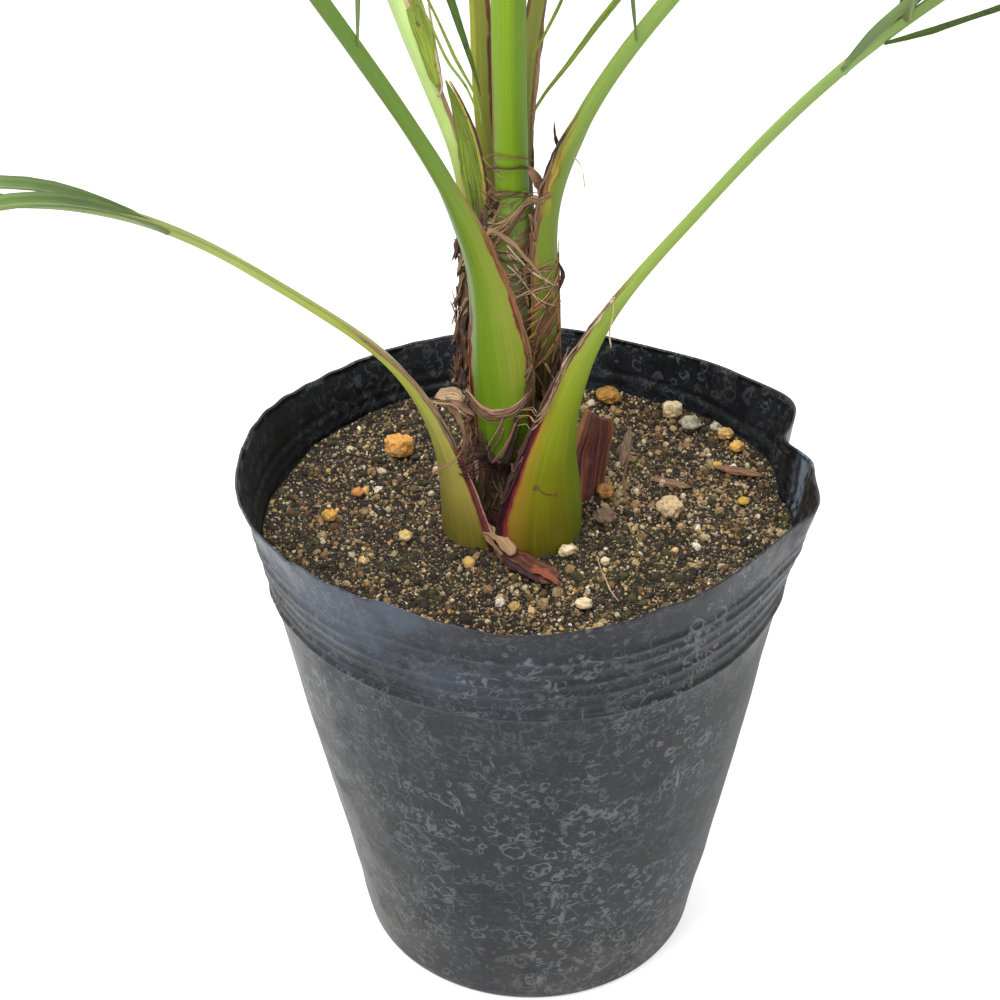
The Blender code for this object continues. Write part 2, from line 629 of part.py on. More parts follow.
def build_frond(plan):
    mesh_data = bmesh.new()
    rings = [add_ring(mesh_data, points) for points in plan.rings]
    bearing = {(index, hand): (ring, tip) for index, hand, ring, tip in plan.leaflets}
    mesh_data.faces.new(reversed(rings[0]))
    for k, (lower, upper) in enumerate(zip(rings, rings[1:])):
        index, odd = divmod(k - plan.first_node, 2)
        is_bay = k >= plan.first_node and not odd
        for i in range(8):
            j = (i + 1) % 8
            hand = {4: 1, 7: -1}.get(i)
            if is_bay and (index, hand) in bearing:
                grow_leaflet(mesh_data, lower, upper, hand, *bearing[(index, hand)])
            else:
                mesh_data.faces.new((lower[i], lower[j], upper[j], upper[i]))
    tip = mesh_data.verts.new(palm_point(*plan.tip))
    for i in range(8):
        mesh_data.faces.new((rings[-1][i], rings[-1][(i + 1) % 8], tip))
    bmesh.ops.triangulate(mesh_data, faces=mesh_data.faces)
    name = plan.spec["name"]
    return add_object(name, mesh_data, make_material(name + "_green", plan.spec["colour"], 0.45), 60.0)


def grow_leaflet(mesh_data, lower, upper, hand, ring, tip):
    outer, inner = (4, 5) if hand > 0 else (0, 7)
    corners = [lower[outer], upper[outer], upper[inner], lower[inner]]
    corners += add_ring(mesh_data, ring)
    corners.append(mesh_data.verts.new(palm_point(*tip)))
    for face in leaflet_faces():
        mesh_data.faces.new([corners[i] for i in face])


def build_foot_cutter(spec, frame, reach=16.0):
    """The foot of a petiole or scale, grown by the gap: cuts its seat in the mix."""
    mesh_data = bmesh.new()
    grow = GAP / MM
    rings = [section(spec, frame, length, grow) for length in (0.0, reach * 0.5, reach)]
    rings[0] = [point - frame.headings[0] * grow for point in rings[0]]
    rings = [add_ring(mesh_data, ring) for ring in rings]
    for lower, upper in zip(rings, rings[1:]):
        bridge(mesh_data, lower, upper)
    mesh_data.faces.new(reversed(rings[0]))
    mesh_data.faces.new(rings[-1])
    name = spec["name"] + "_cutter"
    return add_object(name, mesh_data, make_material(name, (0.5, 0.5, 0.5)))


def build_scale(spec):
    """A dry leaf scale: a petiole's foot that ends in a point."""
    frame = Frame(spec)
    mesh_data = bmesh.new()
    steps = 5
    rings = [section(spec, frame, frame.total * i / steps) for i in range(steps + 1)]
    rings = [add_ring(mesh_data, ring) for ring in rings]
    for lower, upper in zip(rings, rings[1:]):
        bridge(mesh_data, lower, upper)
    mesh_data.faces.new(reversed(rings[0]))
    mesh_data.faces.new(rings[-1])
    scale = add_object(spec["name"], mesh_data, make_material(spec["name"] + "_brown", spec["colour"], 0.7))
    return scale, build_foot_cutter(spec, frame, 9.0)


def build_spear():
    """The unopened leaf at the heart: a slim folded blade standing on the stem's top."""
    sides = 6
    foot = STEM_PROFILE[-1][0] + 2 * GAP / MM
    profile = ((foot, 3.2), (160, 3.6), (230, 3.6), (330, 3.4), (430, 3.0), (530, 2.2), (600, 1.2))
    mesh_data = bmesh.new()
    rings = []
    for height, radius in profile:
        lean = 6 * ((height - foot) / 500) ** 2
        ring = []
        for i in range(sides):
            turn = 2 * math.pi * i / sides
            ring.append((lean + radius * math.cos(turn), 0.7 * radius * math.sin(turn), height))
        rings.append(add_ring(mesh_data, ring))
    for lower, upper in zip(rings, rings[1:]):
        bridge(mesh_data, lower, upper)
    mesh_data.faces.new(reversed(rings[0]))
    tip = mesh_data.verts.new(palm_point(8, 0, 625))
    for i in range(sides):
        mesh_data.faces.new((rings[-1][i], rings[-1][(i + 1) % sides], tip))
    return add_object("spear_leaf", mesh_data, make_material("spear_green", (0.2, 0.3, 0.07), 0.4))


# ---------------------------------------------------------------- loose pieces

def surface_tree(item):
    """Search tree of an object's evaluated surface, in metres."""
    return BVHTree.FromObject(item, bpy.context.evaluated_depsgraph_get())


def settle(mesh_data, ground):
    """Lowers a loose piece until its nearest point lies the gap above the ground."""
    bmesh.ops.triangulate(mesh_data, faces=mesh_data.faces)
    drops = []
    for vert in mesh_data.verts:
        hit = ground.ray_cast(Vector((vert.co.x, vert.co.y, 0.4)), Vector((0, 0, -1)))[0]
        drops.append(vert.co.z - hit.z)
    bmesh.ops.translate(mesh_data, verts=mesh_data.verts, vec=(0, 0, -min(drops)))
    while BVHTree.FromBMesh(mesh_data).overlap(ground):
        bmesh.ops.translate(mesh_data, verts=mesh_data.verts, vec=(0, 0, 0.05 * MM))
    bmesh.ops.translate(mesh_data, verts=mesh_data.verts, vec=(0, 0, GAP))


def build_stone(spec, ground):
    random.seed(spec["name"])
    mesh_data = bmesh.new()
    radius = 0.5 * spec["size"] * MM
    bmesh.ops.create_icosphere(mesh_data, subdivisions=2, radius=radius)
    for vert in mesh_data.verts:
        vert.co *= random.uniform(0.84, 1.08)
        vert.co.z *= spec["flat"]
        vert.co.x *= 1.1
    x, y = spec["at"]
    bmesh.ops.translate(mesh_data, verts=mesh_data.verts, vec=(x * MM, y * MM, 0.3))
    settle(mesh_data, ground)
    material = make_material(spec["name"] + "_stone", spec["colour"], 0.9)
    return add_object(spec["name"], mesh_data, material, 80.0)


def build_chip(spec, ground):
    """A splinter: a flat bar of five-cornered section that narrows to both ends."""
    random.seed(spec["name"])
    mesh_data = bmesh.new()
    length = spec["length"] * MM
    turn = math.radians(spec["turn"])
    rings = []
    for share, size in ((-0.5, 0.35), (-0.25, 0.9), (0.1, 1.0), (0.35, 0.75), (0.5, 0.3)):
        ring = []
        for corner in range(5):
            angle = 2 * math.pi * (corner + 0.25) / 5
            across = 0.5 * spec["width"] * MM * size * math.cos(angle) * random.uniform(0.85, 1.1)
            up = 0.22 * spec["width"] * MM * size * math.sin(angle)
            along = length * share
            x = spec["at"][0] * MM + along * math.cos(turn) - across * math.sin(turn)
            y = spec["at"][1] * MM + along * math.sin(turn) + across * math.cos(turn)
            ring.append(mesh_data.verts.new((x, y, 0.3 + up)))
        rings.append(ring)
    for lower, upper in zip(rings, rings[1:]):
        bridge(mesh_data, lower, upper)
    mesh_data.faces.new(reversed(rings[0]))
    mesh_data.faces.new(rings[-1])
    settle(mesh_data, ground)
    return add_object(spec["name"], mesh_data, make_material(spec["name"] + "_bark", spec["colour"], 0.9))


def main():
    remove_all_objects()
    build_pot()
    soil = build_soil()
    build_stem()
    cut(soil, build_stem("stem_cutter", grow=GAP / MM, top=35))
    plans = [FrondPlan(spec) for spec in FRONDS]
    grow_leaflets(plans, [surface_tree(build_spear())])
    for plan in plans:
        build_frond(plan)
        if plan.spec["height"] < 0:
            cut(soil, build_foot_cutter(plan.spec, plan.frame))
    for spec in SCALES:
        cut(soil, build_scale(spec)[1])
    ground = surface_tree(soil)
    for spec in STONES:
        build_stone(spec, ground)
    for spec in CHIPS:
        build_chip(spec, ground)


main()
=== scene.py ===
import math
import random

import bmesh
import bpy
import numpy as np
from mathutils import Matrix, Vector
from mathutils.bvhtree import BVHTree


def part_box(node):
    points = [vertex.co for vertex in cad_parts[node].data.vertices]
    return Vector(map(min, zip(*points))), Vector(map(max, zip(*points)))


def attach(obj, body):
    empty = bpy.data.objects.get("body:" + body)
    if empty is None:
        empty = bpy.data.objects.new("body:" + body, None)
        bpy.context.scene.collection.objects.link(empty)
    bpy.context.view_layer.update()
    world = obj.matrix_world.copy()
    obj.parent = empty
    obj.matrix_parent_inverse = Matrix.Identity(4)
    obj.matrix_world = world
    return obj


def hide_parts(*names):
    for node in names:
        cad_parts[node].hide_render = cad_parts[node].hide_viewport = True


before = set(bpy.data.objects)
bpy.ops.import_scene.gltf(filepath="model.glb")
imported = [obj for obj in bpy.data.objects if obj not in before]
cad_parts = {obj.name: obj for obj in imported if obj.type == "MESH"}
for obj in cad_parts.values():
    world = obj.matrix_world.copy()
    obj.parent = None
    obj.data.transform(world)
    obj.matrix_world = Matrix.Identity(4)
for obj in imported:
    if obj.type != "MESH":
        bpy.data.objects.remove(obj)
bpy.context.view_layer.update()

# A young date palm in a soft black nursery pot. Lengths are in millimetres until a mesh is made.
mm = 0.001
stemLow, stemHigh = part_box("stem")
stemFoot = 36                                   # the stem starts this far below the mix's level
soilLevel = stemLow.z / mm + stemFoot
palmX = (stemLow.x + stemHigh.x) / 2 / mm
palmY = (stemLow.y + stemHigh.y) / 2 / mm
palm = np.array((palmX, palmY, soilLevel))      # the palm's axis where it leaves the mix


# small tools: noise, meshes and materials

def softNoise(points, size, seed=0):
    # smooth noise of -1 to 1, with lumps of about the given size
    cell = np.asarray(points, float) / size
    base = np.floor(cell).astype(np.int64)
    part = cell - base
    part = part * part * (3 - 2 * part)
    total = np.zeros(len(cell))
    for corner in range(8):
        step = np.array([(corner >> k) & 1 for k in range(3)])
        at = base + step
        mixed = (at[:, 0] * 73856093) ^ (at[:, 1] * 19349663) ^ (at[:, 2] * 83492791) ^ (seed * 2654435)
        mixed = ((mixed ^ (mixed >> 13)) * 1274126177) & 0x7FFFFFFF
        value = ((mixed >> 7) % 65536) / 32767.5 - 1
        total += value * np.prod(np.where(step, part, 1 - part), axis=1)
    return total


def hump(angle, centre, spread):
    away = (angle - centre + 180.0) % 360.0 - 180.0
    return np.exp(-(away / spread) ** 2)


def aroundAxis(radius, turn, z, flat=1.0):
    # points at a radius and a turn in radians, at one height or at many
    return np.stack(np.broadcast_arrays(radius * np.cos(turn), flat * radius * np.sin(turn), z), -1)


def unit(vector):
    return vector / np.linalg.norm(vector, axis=-1, keepdims=True)


def skinCorners(u, uNext, v, vNext):
    # where the four corners of each face lie on the skin: u runs round it, v along it
    corners = ((u, v), (uNext, v), (uNext, vNext), (u, vNext))
    return np.stack([np.stack(corner, -1) for corner in corners], axis=-2)


class Bundle:
    # closed bodies, in millimetres, that become one piece

    def __init__(self):
        self.points = []
        self.corners = []
        self.sizes = []
        self.uvs = []
        self.count = 0

    def addFaces(self, faces, uvs):
        faces = np.asarray(faces)
        self.corners.append(faces.ravel() + self.count)
        self.sizes.append(np.full(len(faces), faces.shape[1]))
        self.uvs.append(np.asarray(uvs, float).reshape(-1, 2))

    def addRings(self, rings, across, along):
        # a closed skin through rings of points, with a flat cap at both ends
        rings = np.asarray(rings, float)
        count, around = rings.shape[:2]
        index = np.arange(count * around).reshape(count, around)
        beside = np.roll(index, -1, axis=1)
        faces = np.stack((index[:-1], beside[:-1], beside[1:], index[1:]), axis=-1)
        columns = np.asarray(along)[:, None]
        uvs = skinCorners(*(np.broadcast_to(part, (count - 1, around))
                            for part in (across[:-1], across[1:], columns[:-1], columns[1:])))
        caps = (index[0][::-1], index[-1])
        capUvs = [np.stack((np.asarray(across)[:-1], np.full(around, along[k])), -1) for k in (0, -1)]
        capUvs[0] = capUvs[0][::-1]
        if skinVolume(rings) < 0:
            faces = faces[..., ::-1]
            uvs = uvs[..., ::-1, :]
            caps = [cap[::-1] for cap in caps]
            capUvs = [cap[::-1] for cap in capUvs]
        self.addFaces(faces.reshape(-1, 4), uvs)
        for cap, capUv in zip(caps, capUvs):
            self.addFaces(cap[None], capUv)
        self.points.append(rings.reshape(-1, 3))
        self.count += count * around

    def addBody(self, points, faces, uvs):
        self.addFaces(faces, uvs)
        self.points.append(points)
        self.count += len(points)

    def piece(self, name, finish, slot, replaced=(), smooth=True):
        mesh = bpy.data.meshes.new(name)
        points = np.concatenate(self.points) * mm
        corners = np.concatenate(self.corners)
        sizes = np.concatenate(self.sizes)
        mesh.vertices.add(len(points))
        mesh.vertices.foreach_set("co", points.astype(np.float32).ravel())
        mesh.loops.add(len(corners))
        mesh.loops.foreach_set("vertex_index", corners.astype(np.int32))
        mesh.polygons.add(len(sizes))
        mesh.polygons.foreach_set("loop_start",
                                  np.concatenate(([0], np.cumsum(sizes)[:-1])).astype(np.int32))
        mesh.update(calc_edges=True)
        layer = mesh.uv_layers.new(name="skin")
        layer.uv.foreach_set("vector", np.concatenate(self.uvs).astype(np.float32).ravel())
        if smooth:
            mesh.shade_smooth()
        else:
            mesh.shade_flat()
        return placePiece(bpy.data.objects.new(name, mesh), finish, replaced)


def placePiece(item, finish, replaced=()):
    bpy.context.scene.collection.objects.link(item)
    item.data.materials.append(finish)
    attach(item, "root")
    if replaced:
        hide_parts(*replaced)
    return item


def skinPiece(name, rings, across, along, finish, slot, replaced):
    bundle = Bundle()
    bundle.addRings(rings, across, along)
    return bundle.piece(name, finish, slot, [replaced])


def skinVolume(rings):
    # signed volume between the rings: negative when the skin would face inwards
    centre = rings.mean(axis=(0, 1))
    a = rings[:-1] - centre
    b = np.roll(rings, -1, axis=1)[:-1] - centre
    c = np.roll(rings, -1, axis=1)[1:] - centre
    d = rings[1:] - centre
    return (np.cross(a, b) * c).sum() + (np.cross(a, c) * d).sum()


class Finish:
    # one material, with short names for the nodes that it is made of

    def __init__(self, name, **sockets):
        self.material = bpy.data.materials.new(name)
        self.material.use_nodes = True
        self.tree = self.material.node_tree
        self.shader = self.tree.nodes["Principled BSDF"]
        for socket, value in sockets.items():
            self.shader.inputs[socket.replace("_", " ")].default_value = value
        self.coordinates = self.tree.nodes.new("ShaderNodeTexCoord")

    def node(self, kind, inputs, **settings):
        made = self.tree.nodes.new(kind)
        for key, value in settings.items():
            setattr(made, key, value)
        for socket, value in inputs.items():
            self.feed(made.inputs[socket], value)
        return made

    def feed(self, socket, value):
        if isinstance(value, bpy.types.NodeSocket):
            self.tree.links.new(value, socket)
        else:
            socket.default_value = value

    def place(self, tall=1.0):
        # where a point is, in metres, and a tall of less than 1 draws a pattern out upwards
        mapping = self.node("ShaderNodeMapping", {"Vector": self.coordinates.outputs["Object"]})
        mapping.inputs["Scale"].default_value = (1, 1, tall)
        return mapping.outputs["Vector"]

    def skin(self):
        # how far round the skin, and how far along it
        return self.split(self.coordinates.outputs["UV"])[:2]

    def split(self, vector):
        parts = self.node("ShaderNodeSeparateXYZ", {0: vector})
        return parts.outputs[0], parts.outputs[1], parts.outputs[2]

    def join(self, x, y, z=0.0):
        return self.node("ShaderNodeCombineXYZ", {0: x, 1: y, 2: z}).outputs[0]

    def noise(self, where, scale, detail=3.0, rough=0.55, warp=0.0):
        return self.node("ShaderNodeTexNoise", {"Vector": where, "Scale": scale, "Detail": detail,
                                                "Roughness": rough, "Distortion": warp}).outputs["Fac"]

    def strands(self, u, v, detail=3.0, rough=0.55, warp=0.0, lane=0.0):
        # noise drawn out along the skin: u and v say how often it changes each way
        return self.noise(self.join(u, v, lane), 1.0, detail, rough, warp)

    def cells(self, where, scale, feature="F1", output="Distance"):
        return self.node("ShaderNodeTexVoronoi", {"Vector": where, "Scale": scale},
                         feature=feature).outputs[output]

    def math(self, way, first, second=0.0):
        return self.node("ShaderNodeMath", {0: first, 1: second}, operation=way).outputs[0]

    def times(self, first, second):
        return self.math("MULTIPLY", first, second)

    def plus(self, first, second):
        return self.math("ADD", first, second)

    def minus(self, first, second):
        return self.math("SUBTRACT", first, second)

    def most(self, first, second):
        return self.math("MAXIMUM", first, second)

    def apart(self, first, second):
        return self.math("ABSOLUTE", self.minus(first, second))

    def between(self, value, low, high, first=0.0, last=1.0, smooth=True):
        made = self.node("ShaderNodeMapRange", {"Value": value, "From Min": low, "From Max": high,
                                                "To Min": first, "To Max": last})
        made.interpolation_type = "SMOOTHSTEP" if smooth else "LINEAR"
        return made.outputs["Result"]

    def ramp(self, value, stops):
        made = self.node("ShaderNodeValToRGB", {"Fac": value})
        marks = made.color_ramp.elements
        while len(marks) < len(stops):
            marks.new(1.0)
        for mark, (place, colour) in zip(marks, stops):
            mark.position = place
            mark.color = (*colour, 1.0)
        return made.outputs["Color"]

    def mix(self, share, first, second, way="MIX"):
        made = self.node("ShaderNodeMix", {}, data_type="RGBA", blend_type=way)
        for socket, value in ((made.inputs[0], share), (made.inputs[6], first), (made.inputs[7], second)):
            if isinstance(value, tuple):
                value = (*value, 1.0)
            self.feed(socket, value)
        return made.outputs[2]

    def shaded(self, colour, shade):
        return self.mix(1.0, colour, self.join(shade, shade, shade), "MULTIPLY")

    def bump(self, height, distance, strength=1.0):
        return self.node("ShaderNodeBump", {"Height": height, "Distance": distance,
                                            "Strength": strength}).outputs["Normal"]

    def finish(self, colour, roughness, normal):
        self.feed(self.shader.inputs["Base Color"], colour)
        if roughness is not None:
            self.feed(self.shader.inputs["Roughness"], roughness)
        self.feed(self.shader.inputs["Normal"], normal)
        return self.material


# the pot: thin black polythene with ribs under a wavy rim

pot = dict(height=215.0, footRadius=69.0, footRounding=1.5, rimRadius=106.0, lean=-2.4, wall=0.9, floor=1.6,
           ribs=(172.0, 177.5, 183.0, 188.5, 194.0, 199.5), ribDepth=0.9, ribWidth=1.15,
           squeeze=-38.0, squeezeDepth=2.5, dents=0.5, around=330, crease=0.02,
           drains=6, drainRadius=5.0, drainCircle=45.0)
# bumps round the rim: where in degrees, how wide, and how far up or out
rimLifts = ((-53, 25, 2.5), (3, 7, -2.5), (28, 16, 1.5), (242, 2.5, 1.3), (237, 4, -0.9), (295, 3, 1.2))
rimBulges = ((-13, 8, 3.5), (9, 12, -6.0), (20, 9, 7.0), (8, 3.5, -3.2), (1, 6, 4.6), (-18, 6, 2.0))


def rimHeight(angle):
    turn = np.radians(angle)
    wave = 1.2 * np.sin(2 * turn + 0.6) + 0.9 * np.sin(5 * turn) + 0.5 * np.sin(9 * turn + 1)
    wave += sum(lift * hump(angle, place, wide) for place, wide, lift in rimLifts)
    wave += 0.5 * np.sin(31 * turn) * hump(angle, 225, 35) + 0.35 * np.sin(47 * turn + 1) * hump(angle,
                                                                                                 170, 60)
    return pot["height"] + wave


def ribRelief(z, angle):
    relief = np.zeros_like(z)
    for number, height in enumerate(pot["ribs"]):
        sway = 0.5 * np.sin(np.radians(angle) * 2 + number)
        strength = 1.5 if number == 0 else 0.75 + 0.35 * np.sin(np.radians(angle) * 3 + 2.3 * number)
        relief = relief + strength * np.exp(-((z - height - sway) / pot["ribWidth"]) ** 2)
    return pot["ribDepth"] * relief


def wallPoints(angle, share, inset=0.0, dented=True):
    angle, share = np.broadcast_arrays(np.asarray(angle, float), np.asarray(share, float))
    turn = np.radians(angle)
    radius = pot["footRadius"] + (pot["rimRadius"] - pot["footRadius"]) * share
    slack = np.sin(np.pi * np.minimum(share, 1)) * 0.5 * np.sin(3 * turn + 7 * share)
    slack += share ** 4 * (0.8 * np.sin(4 * turn + 0.5) - pot["squeezeDepth"]
                           * hump(angle, pot["squeeze"], 26))
    high = np.maximum(0, (share - 0.84) / 0.16)
    slack += high * sum(out * hump(angle, place, wide) for place, wide, out in rimBulges)
    slack += np.maximum(0, (share - 0.96) / 0.04) * 2.0 * hump(angle, 185, 60)
    slack -= pot["footRounding"] * np.maximum(0, 1 - share / 0.014) ** 2
    z = share * rimHeight(angle)
    radius = radius + slack + ribRelief(z, angle)
    if dented:
        flat = aroundAxis(radius, turn, z).reshape(-1, 3)
        dent = softNoise(flat, 34, 3) + 0.45 * softNoise(flat, 13, 4) + 0.12 * softNoise(flat, 5, 5)
        radius = radius + pot["dents"] * dent.reshape(radius.shape) * np.minimum(1, share / 0.05)
    points = aroundAxis(radius - inset, turn, z)
    points[..., 0] += pot["lean"] * share
    return points


def makePot():
    low = np.concatenate(((0, 0.003, 0.007, 0.012), np.arange(0.024, 0.78, 0.018)))
    ribbed = np.arange(0.78, 0.95, 0.0031)
    outer = np.concatenate((low, ribbed, np.arange(0.952, 0.9999, 0.008), (0.997, 1.0)))
    inner = np.concatenate((np.arange(0.012, 0.78, 0.045), np.arange(0.78, 0.95, 0.0055),
                            np.arange(0.953, 0.999, 0.009), (0.9975,)))[::-1]
    angle = np.arange(pot["around"]) * 360.0 / pot["around"]
    rings = [wallPoints(angle, share) for share in outer]
    lip = wallPoints(angle, 1.0, pot["wall"] / 2)
    lip[:, 2] += 0.25
    rings.append(lip)
    rings += [wallPoints(angle, share, pot["wall"]) for share in inner]
    under = wallPoints(angle, 0.0, 7.0, dented=False)
    over = under.copy()
    over[:, 2] = pot["floor"]
    closed = [under] + rings + [over, under]     # the skin runs up outside, down inside and under the foot
    count = len(closed) - 1
    bundle = Bundle()
    points = np.array(closed[:-1])
    around = pot["around"]
    index = np.arange(count * around).reshape(count, around)
    above = np.roll(index, -1, axis=0)
    faces = np.stack((index, np.roll(index, -1, axis=1), np.roll(above, -1, axis=1), above), axis=-1)
    u = np.arange(around) / around
    v = np.arange(count) / count
    uGrid, vGrid = np.meshgrid(u, v)
    uvs = skinCorners(uGrid, uGrid + 1 / around, vGrid, vGrid + 1 / count)
    bundle.addBody(points.reshape(-1, 3), faces.reshape(-1, 4), uvs)
    bundle.piece("potWall", potFinish((len(outer) + 1.5) / count), "pot_plastic", ["nursery_pot"])
    makePotFloor()
    print("pot: %d rings of %d points" % (count, around))


def makePotFloor():
    # the floor is a plain disc with a drain hole in each sixth
    radius = pot["footRadius"] - pot["footRounding"] - 6.7
    disc = roundBar("potFloor", (0, 0), 0.25, pot["floor"] - 0.1, radius, 96)
    for number in range(pot["drains"]):
        turn = 2 * math.pi * (number + 0.56) / pot["drains"]
        centre = (pot["drainCircle"] * math.cos(turn), pot["drainCircle"] * math.sin(turn))
        drill = roundBar("drill", centre, -3, 5, pot["drainRadius"], 40)
        cutter = disc.modifiers.new("drain", "BOOLEAN")
        cutter.operation = "DIFFERENCE"
        cutter.object = drill
        bpy.context.view_layer.update()
        shape = bpy.data.meshes.new_from_object(disc.evaluated_get(bpy.context.evaluated_depsgraph_get()))
        disc.modifiers.clear()
        disc.data = shape
        bpy.data.objects.remove(drill, do_unlink=True)
    disc.data.materials.clear()
    disc.data.materials.append(bpy.data.materials["potPolythene"])
    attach(disc, "root")
    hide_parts("nursery_pot")


def roundBar(name, centre, low, high, radius, sides):
    shape = bmesh.new()
    rings = []
    for z in (low, high):
        turns = [2 * math.pi * (i + 0.3) / sides for i in range(sides)]
        rings.append([shape.verts.new(((centre[0] + radius * math.cos(turn)) * mm,
                                       (centre[1] + radius * math.sin(turn)) * mm,
                                       z * mm)) for turn in turns])
    for i in range(sides):
        j = (i + 1) % sides
        shape.faces.new((rings[0][i], rings[0][j], rings[1][j], rings[1][i]))
    shape.faces.new(reversed(rings[0]))
    shape.faces.new(rings[1])
    mesh = bpy.data.meshes.new(name)
    shape.to_mesh(mesh)
    shape.free()
    item = bpy.data.objects.new(name, mesh)
    bpy.context.scene.collection.objects.link(item)
    return item


def limeRings(look, where, scale, low, high, edge):
    # dried drops: an outline round the middle of each cell, each of its own width
    made = look.node("ShaderNodeTexVoronoi", {"Vector": where, "Scale": scale})
    chance = look.split(made.outputs["Color"])[0]
    radius = look.between(chance, 0.0, 1.0, low, high, smooth=False)
    away = look.apart(made.outputs["Distance"], radius)
    present = look.between(look.split(made.outputs["Color"])[1], 0.35, 0.5)
    return look.times(look.between(away, edge, edge * 0.35, 0.0, 1.0), present)


def potFinish(lip):
    look = Finish("potPolythene", IOR=1.5, Specular_IOR_Level=0.22)
    place = look.place()
    inside = look.math("GREATER_THAN", look.skin()[1], lip)
    x, y, z = look.split(place)
    wobble = look.noise(place, 60, 3.0)
    drift = look.node("ShaderNodeTexNoise",
                      {"Vector": place, "Scale": 190.0, "Detail": 2.0}).outputs["Color"]
    bent = look.node("ShaderNodeVectorMath", {0: drift, 1: (0.006, 0.006, 0.006), 2: place},
                     operation="MULTIPLY_ADD").outputs[0]
    patches = look.between(look.noise(place, 17, 4.0, 0.6), 0.38, 0.58, 0.25, 1.0)
    broken = look.between(look.noise(place, 240, 3.0), 0.38, 0.54)
    seams = look.between(look.cells(bent, 165, "DISTANCE_TO_EDGE"), 0.01, 0.045, 1.0, 0.0)
    seams = look.times(seams, look.between(look.noise(place, 26, 2.0), 0.42, 0.56))
    rings = look.most(limeRings(look, bent, 115, 0.25, 0.5, 0.085),
                      limeRings(look, bent, 230, 0.2, 0.5, 0.13))
    rings = look.times(look.times(look.most(rings, seams), broken), patches)
    specks = look.times(look.between(look.cells(place, 520), 0.09, 0.2, 1.0, 0.0),
                        look.between(look.noise(place, 80, 2.0), 0.46, 0.66))
    scuffs = look.between(look.noise(look.place(0.22), 230, 4.0, 0.7, 0.6), 0.60, 0.70)
    scuffs = look.times(scuffs, look.between(look.noise(place, 24, 2.0), 0.5, 0.62))
    streaks = look.between(look.noise(look.place(0.16), 120, 5.0, 0.7, 0.5), 0.42, 0.78)
    dust = look.between(look.noise(place, 10, 5.0, 0.62), 0.40, 0.66)
    film = look.between(look.noise(place, 55, 6.0, 0.72), 0.42, 0.72)
    grit = look.noise(place, 900, 3.0, 0.7)
    scratches = look.noise(look.place(0.3), 300, 4.0, 0.7)
    colour = look.mix(dust, (0.005, 0.006, 0.009), (0.013, 0.015, 0.020))
    colour = look.mix(look.times(film, 0.4), colour, (0.026, 0.029, 0.036))
    mottle = look.times(look.between(look.noise(place, 480, 5.0, 0.72), 0.50, 0.64),
                        look.between(look.noise(place, 70, 3.0), 0.38, 0.6))
    colour = look.mix(look.times(mottle, 0.6), colour, (0.060, 0.066, 0.078))
    colour = look.mix(look.times(streaks, 0.3), colour, (0.05, 0.052, 0.06))
    colour = look.mix(look.times(look.between(grit, 0.55, 0.72), 0.3), colour, (0.09, 0.09, 0.095))
    # painted light and shade: a pale band under the rim where the wall turns to the lamp at the left front,
    # and painted shade over the wall turned away from it, darker towards the bottom
    turn = look.math("ARCTAN2", y, x)
    facingLamp = look.math("COSINE", look.plus(turn, 2.4))
    # painted shade: darker on the side turned from the lamp and towards the bottom, less so near the rim
    paintedShade = look.most(look.between(facingLamp, 0.88, 0.17), look.times(look.between(z, 0.15, 0.06), 0.75))
    paintedShade = look.times(paintedShade, look.between(z, 0.15, 0.19, 1.0, 0.35))
    # painted shade over the inside of the wall, deepest at the front left under the rim; the marks fade in
    # it
    shaded = look.times(inside, look.between(facingLamp, -0.6, 0.5, 0.25, 0.85))
    colour = look.mix(look.times(paintedShade, 0.62), colour, (0.0025, 0.003, 0.004))
    # painted light: a pale bluish band under the rim on the side facing the lamp
    paintedLight = look.times(look.between(facingLamp, 0.58, 0.98), look.between(z, 0.165, 0.205))
    paintedLight = look.times(paintedLight, look.between(look.noise(place, 36, 4.0), 0.35, 0.6))
    colour = look.mix(look.times(paintedLight, 0.65), colour, (0.075, 0.10, 0.145))
    soiled = look.times(look.between(z, 0.05, 0.0), look.between(look.noise(place, 30, 3.0), 0.4, 0.7))
    colour = look.mix(look.times(soiled, 0.5), colour, (0.10, 0.088, 0.075))
    colour = look.mix(shaded, colour, (0.002, 0.0025, 0.003))
    # painted highlight: a pale bluish streak along the fold by the crease, under the rim
    flapHighlight = look.times(look.between(look.apart(turn, pot["crease"]), 0.08, 0.02),
                      look.between(z, 0.172, 0.195))
    colour = look.mix(look.times(flapHighlight, look.between(scratches, 0.42, 0.6)), colour, (0.16, 0.20, 0.25))
    marks = look.most(look.times(rings, 0.5), look.times(specks, 0.4))
    marks = look.most(marks, look.times(scuffs, 0.55))
    for scrape in scrapes:
        marks = look.most(marks, scrapeMark(look, turn, z, scrape))
    marks = look.times(marks, look.between(shaded, 0.0, 1.0, 1.0, 0.2))
    colour = look.mix(marks, colour, (0.17, 0.185, 0.20))
    roughness = look.between(film, 0.0, 1.0, 0.36, 0.56, smooth=False)
    dull = look.most(look.times(paintedShade, 0.7), shaded)
    roughness = look.most(roughness, look.times(dull, 0.7))
    relief = look.plus(look.times(marks, 0.6), wobble)
    normal = look.bump(relief, 0.0006, 0.7)
    return look.finish(colour, roughness, normal)


# scraped places on the wall: turn in degrees, height, size each way in millimetres, and how plain
scrapes = (
    dict(turn=277, height=62, wide=9, tall=34, strength=0.75),
    dict(turn=307, height=118, wide=6, tall=30, strength=0.7),
    dict(turn=252, height=118, wide=6, tall=8, strength=0.9),
    dict(turn=272, height=14, wide=8, tall=14, strength=0.7),
    dict(turn=236, height=60, wide=16, tall=26, strength=0.4))


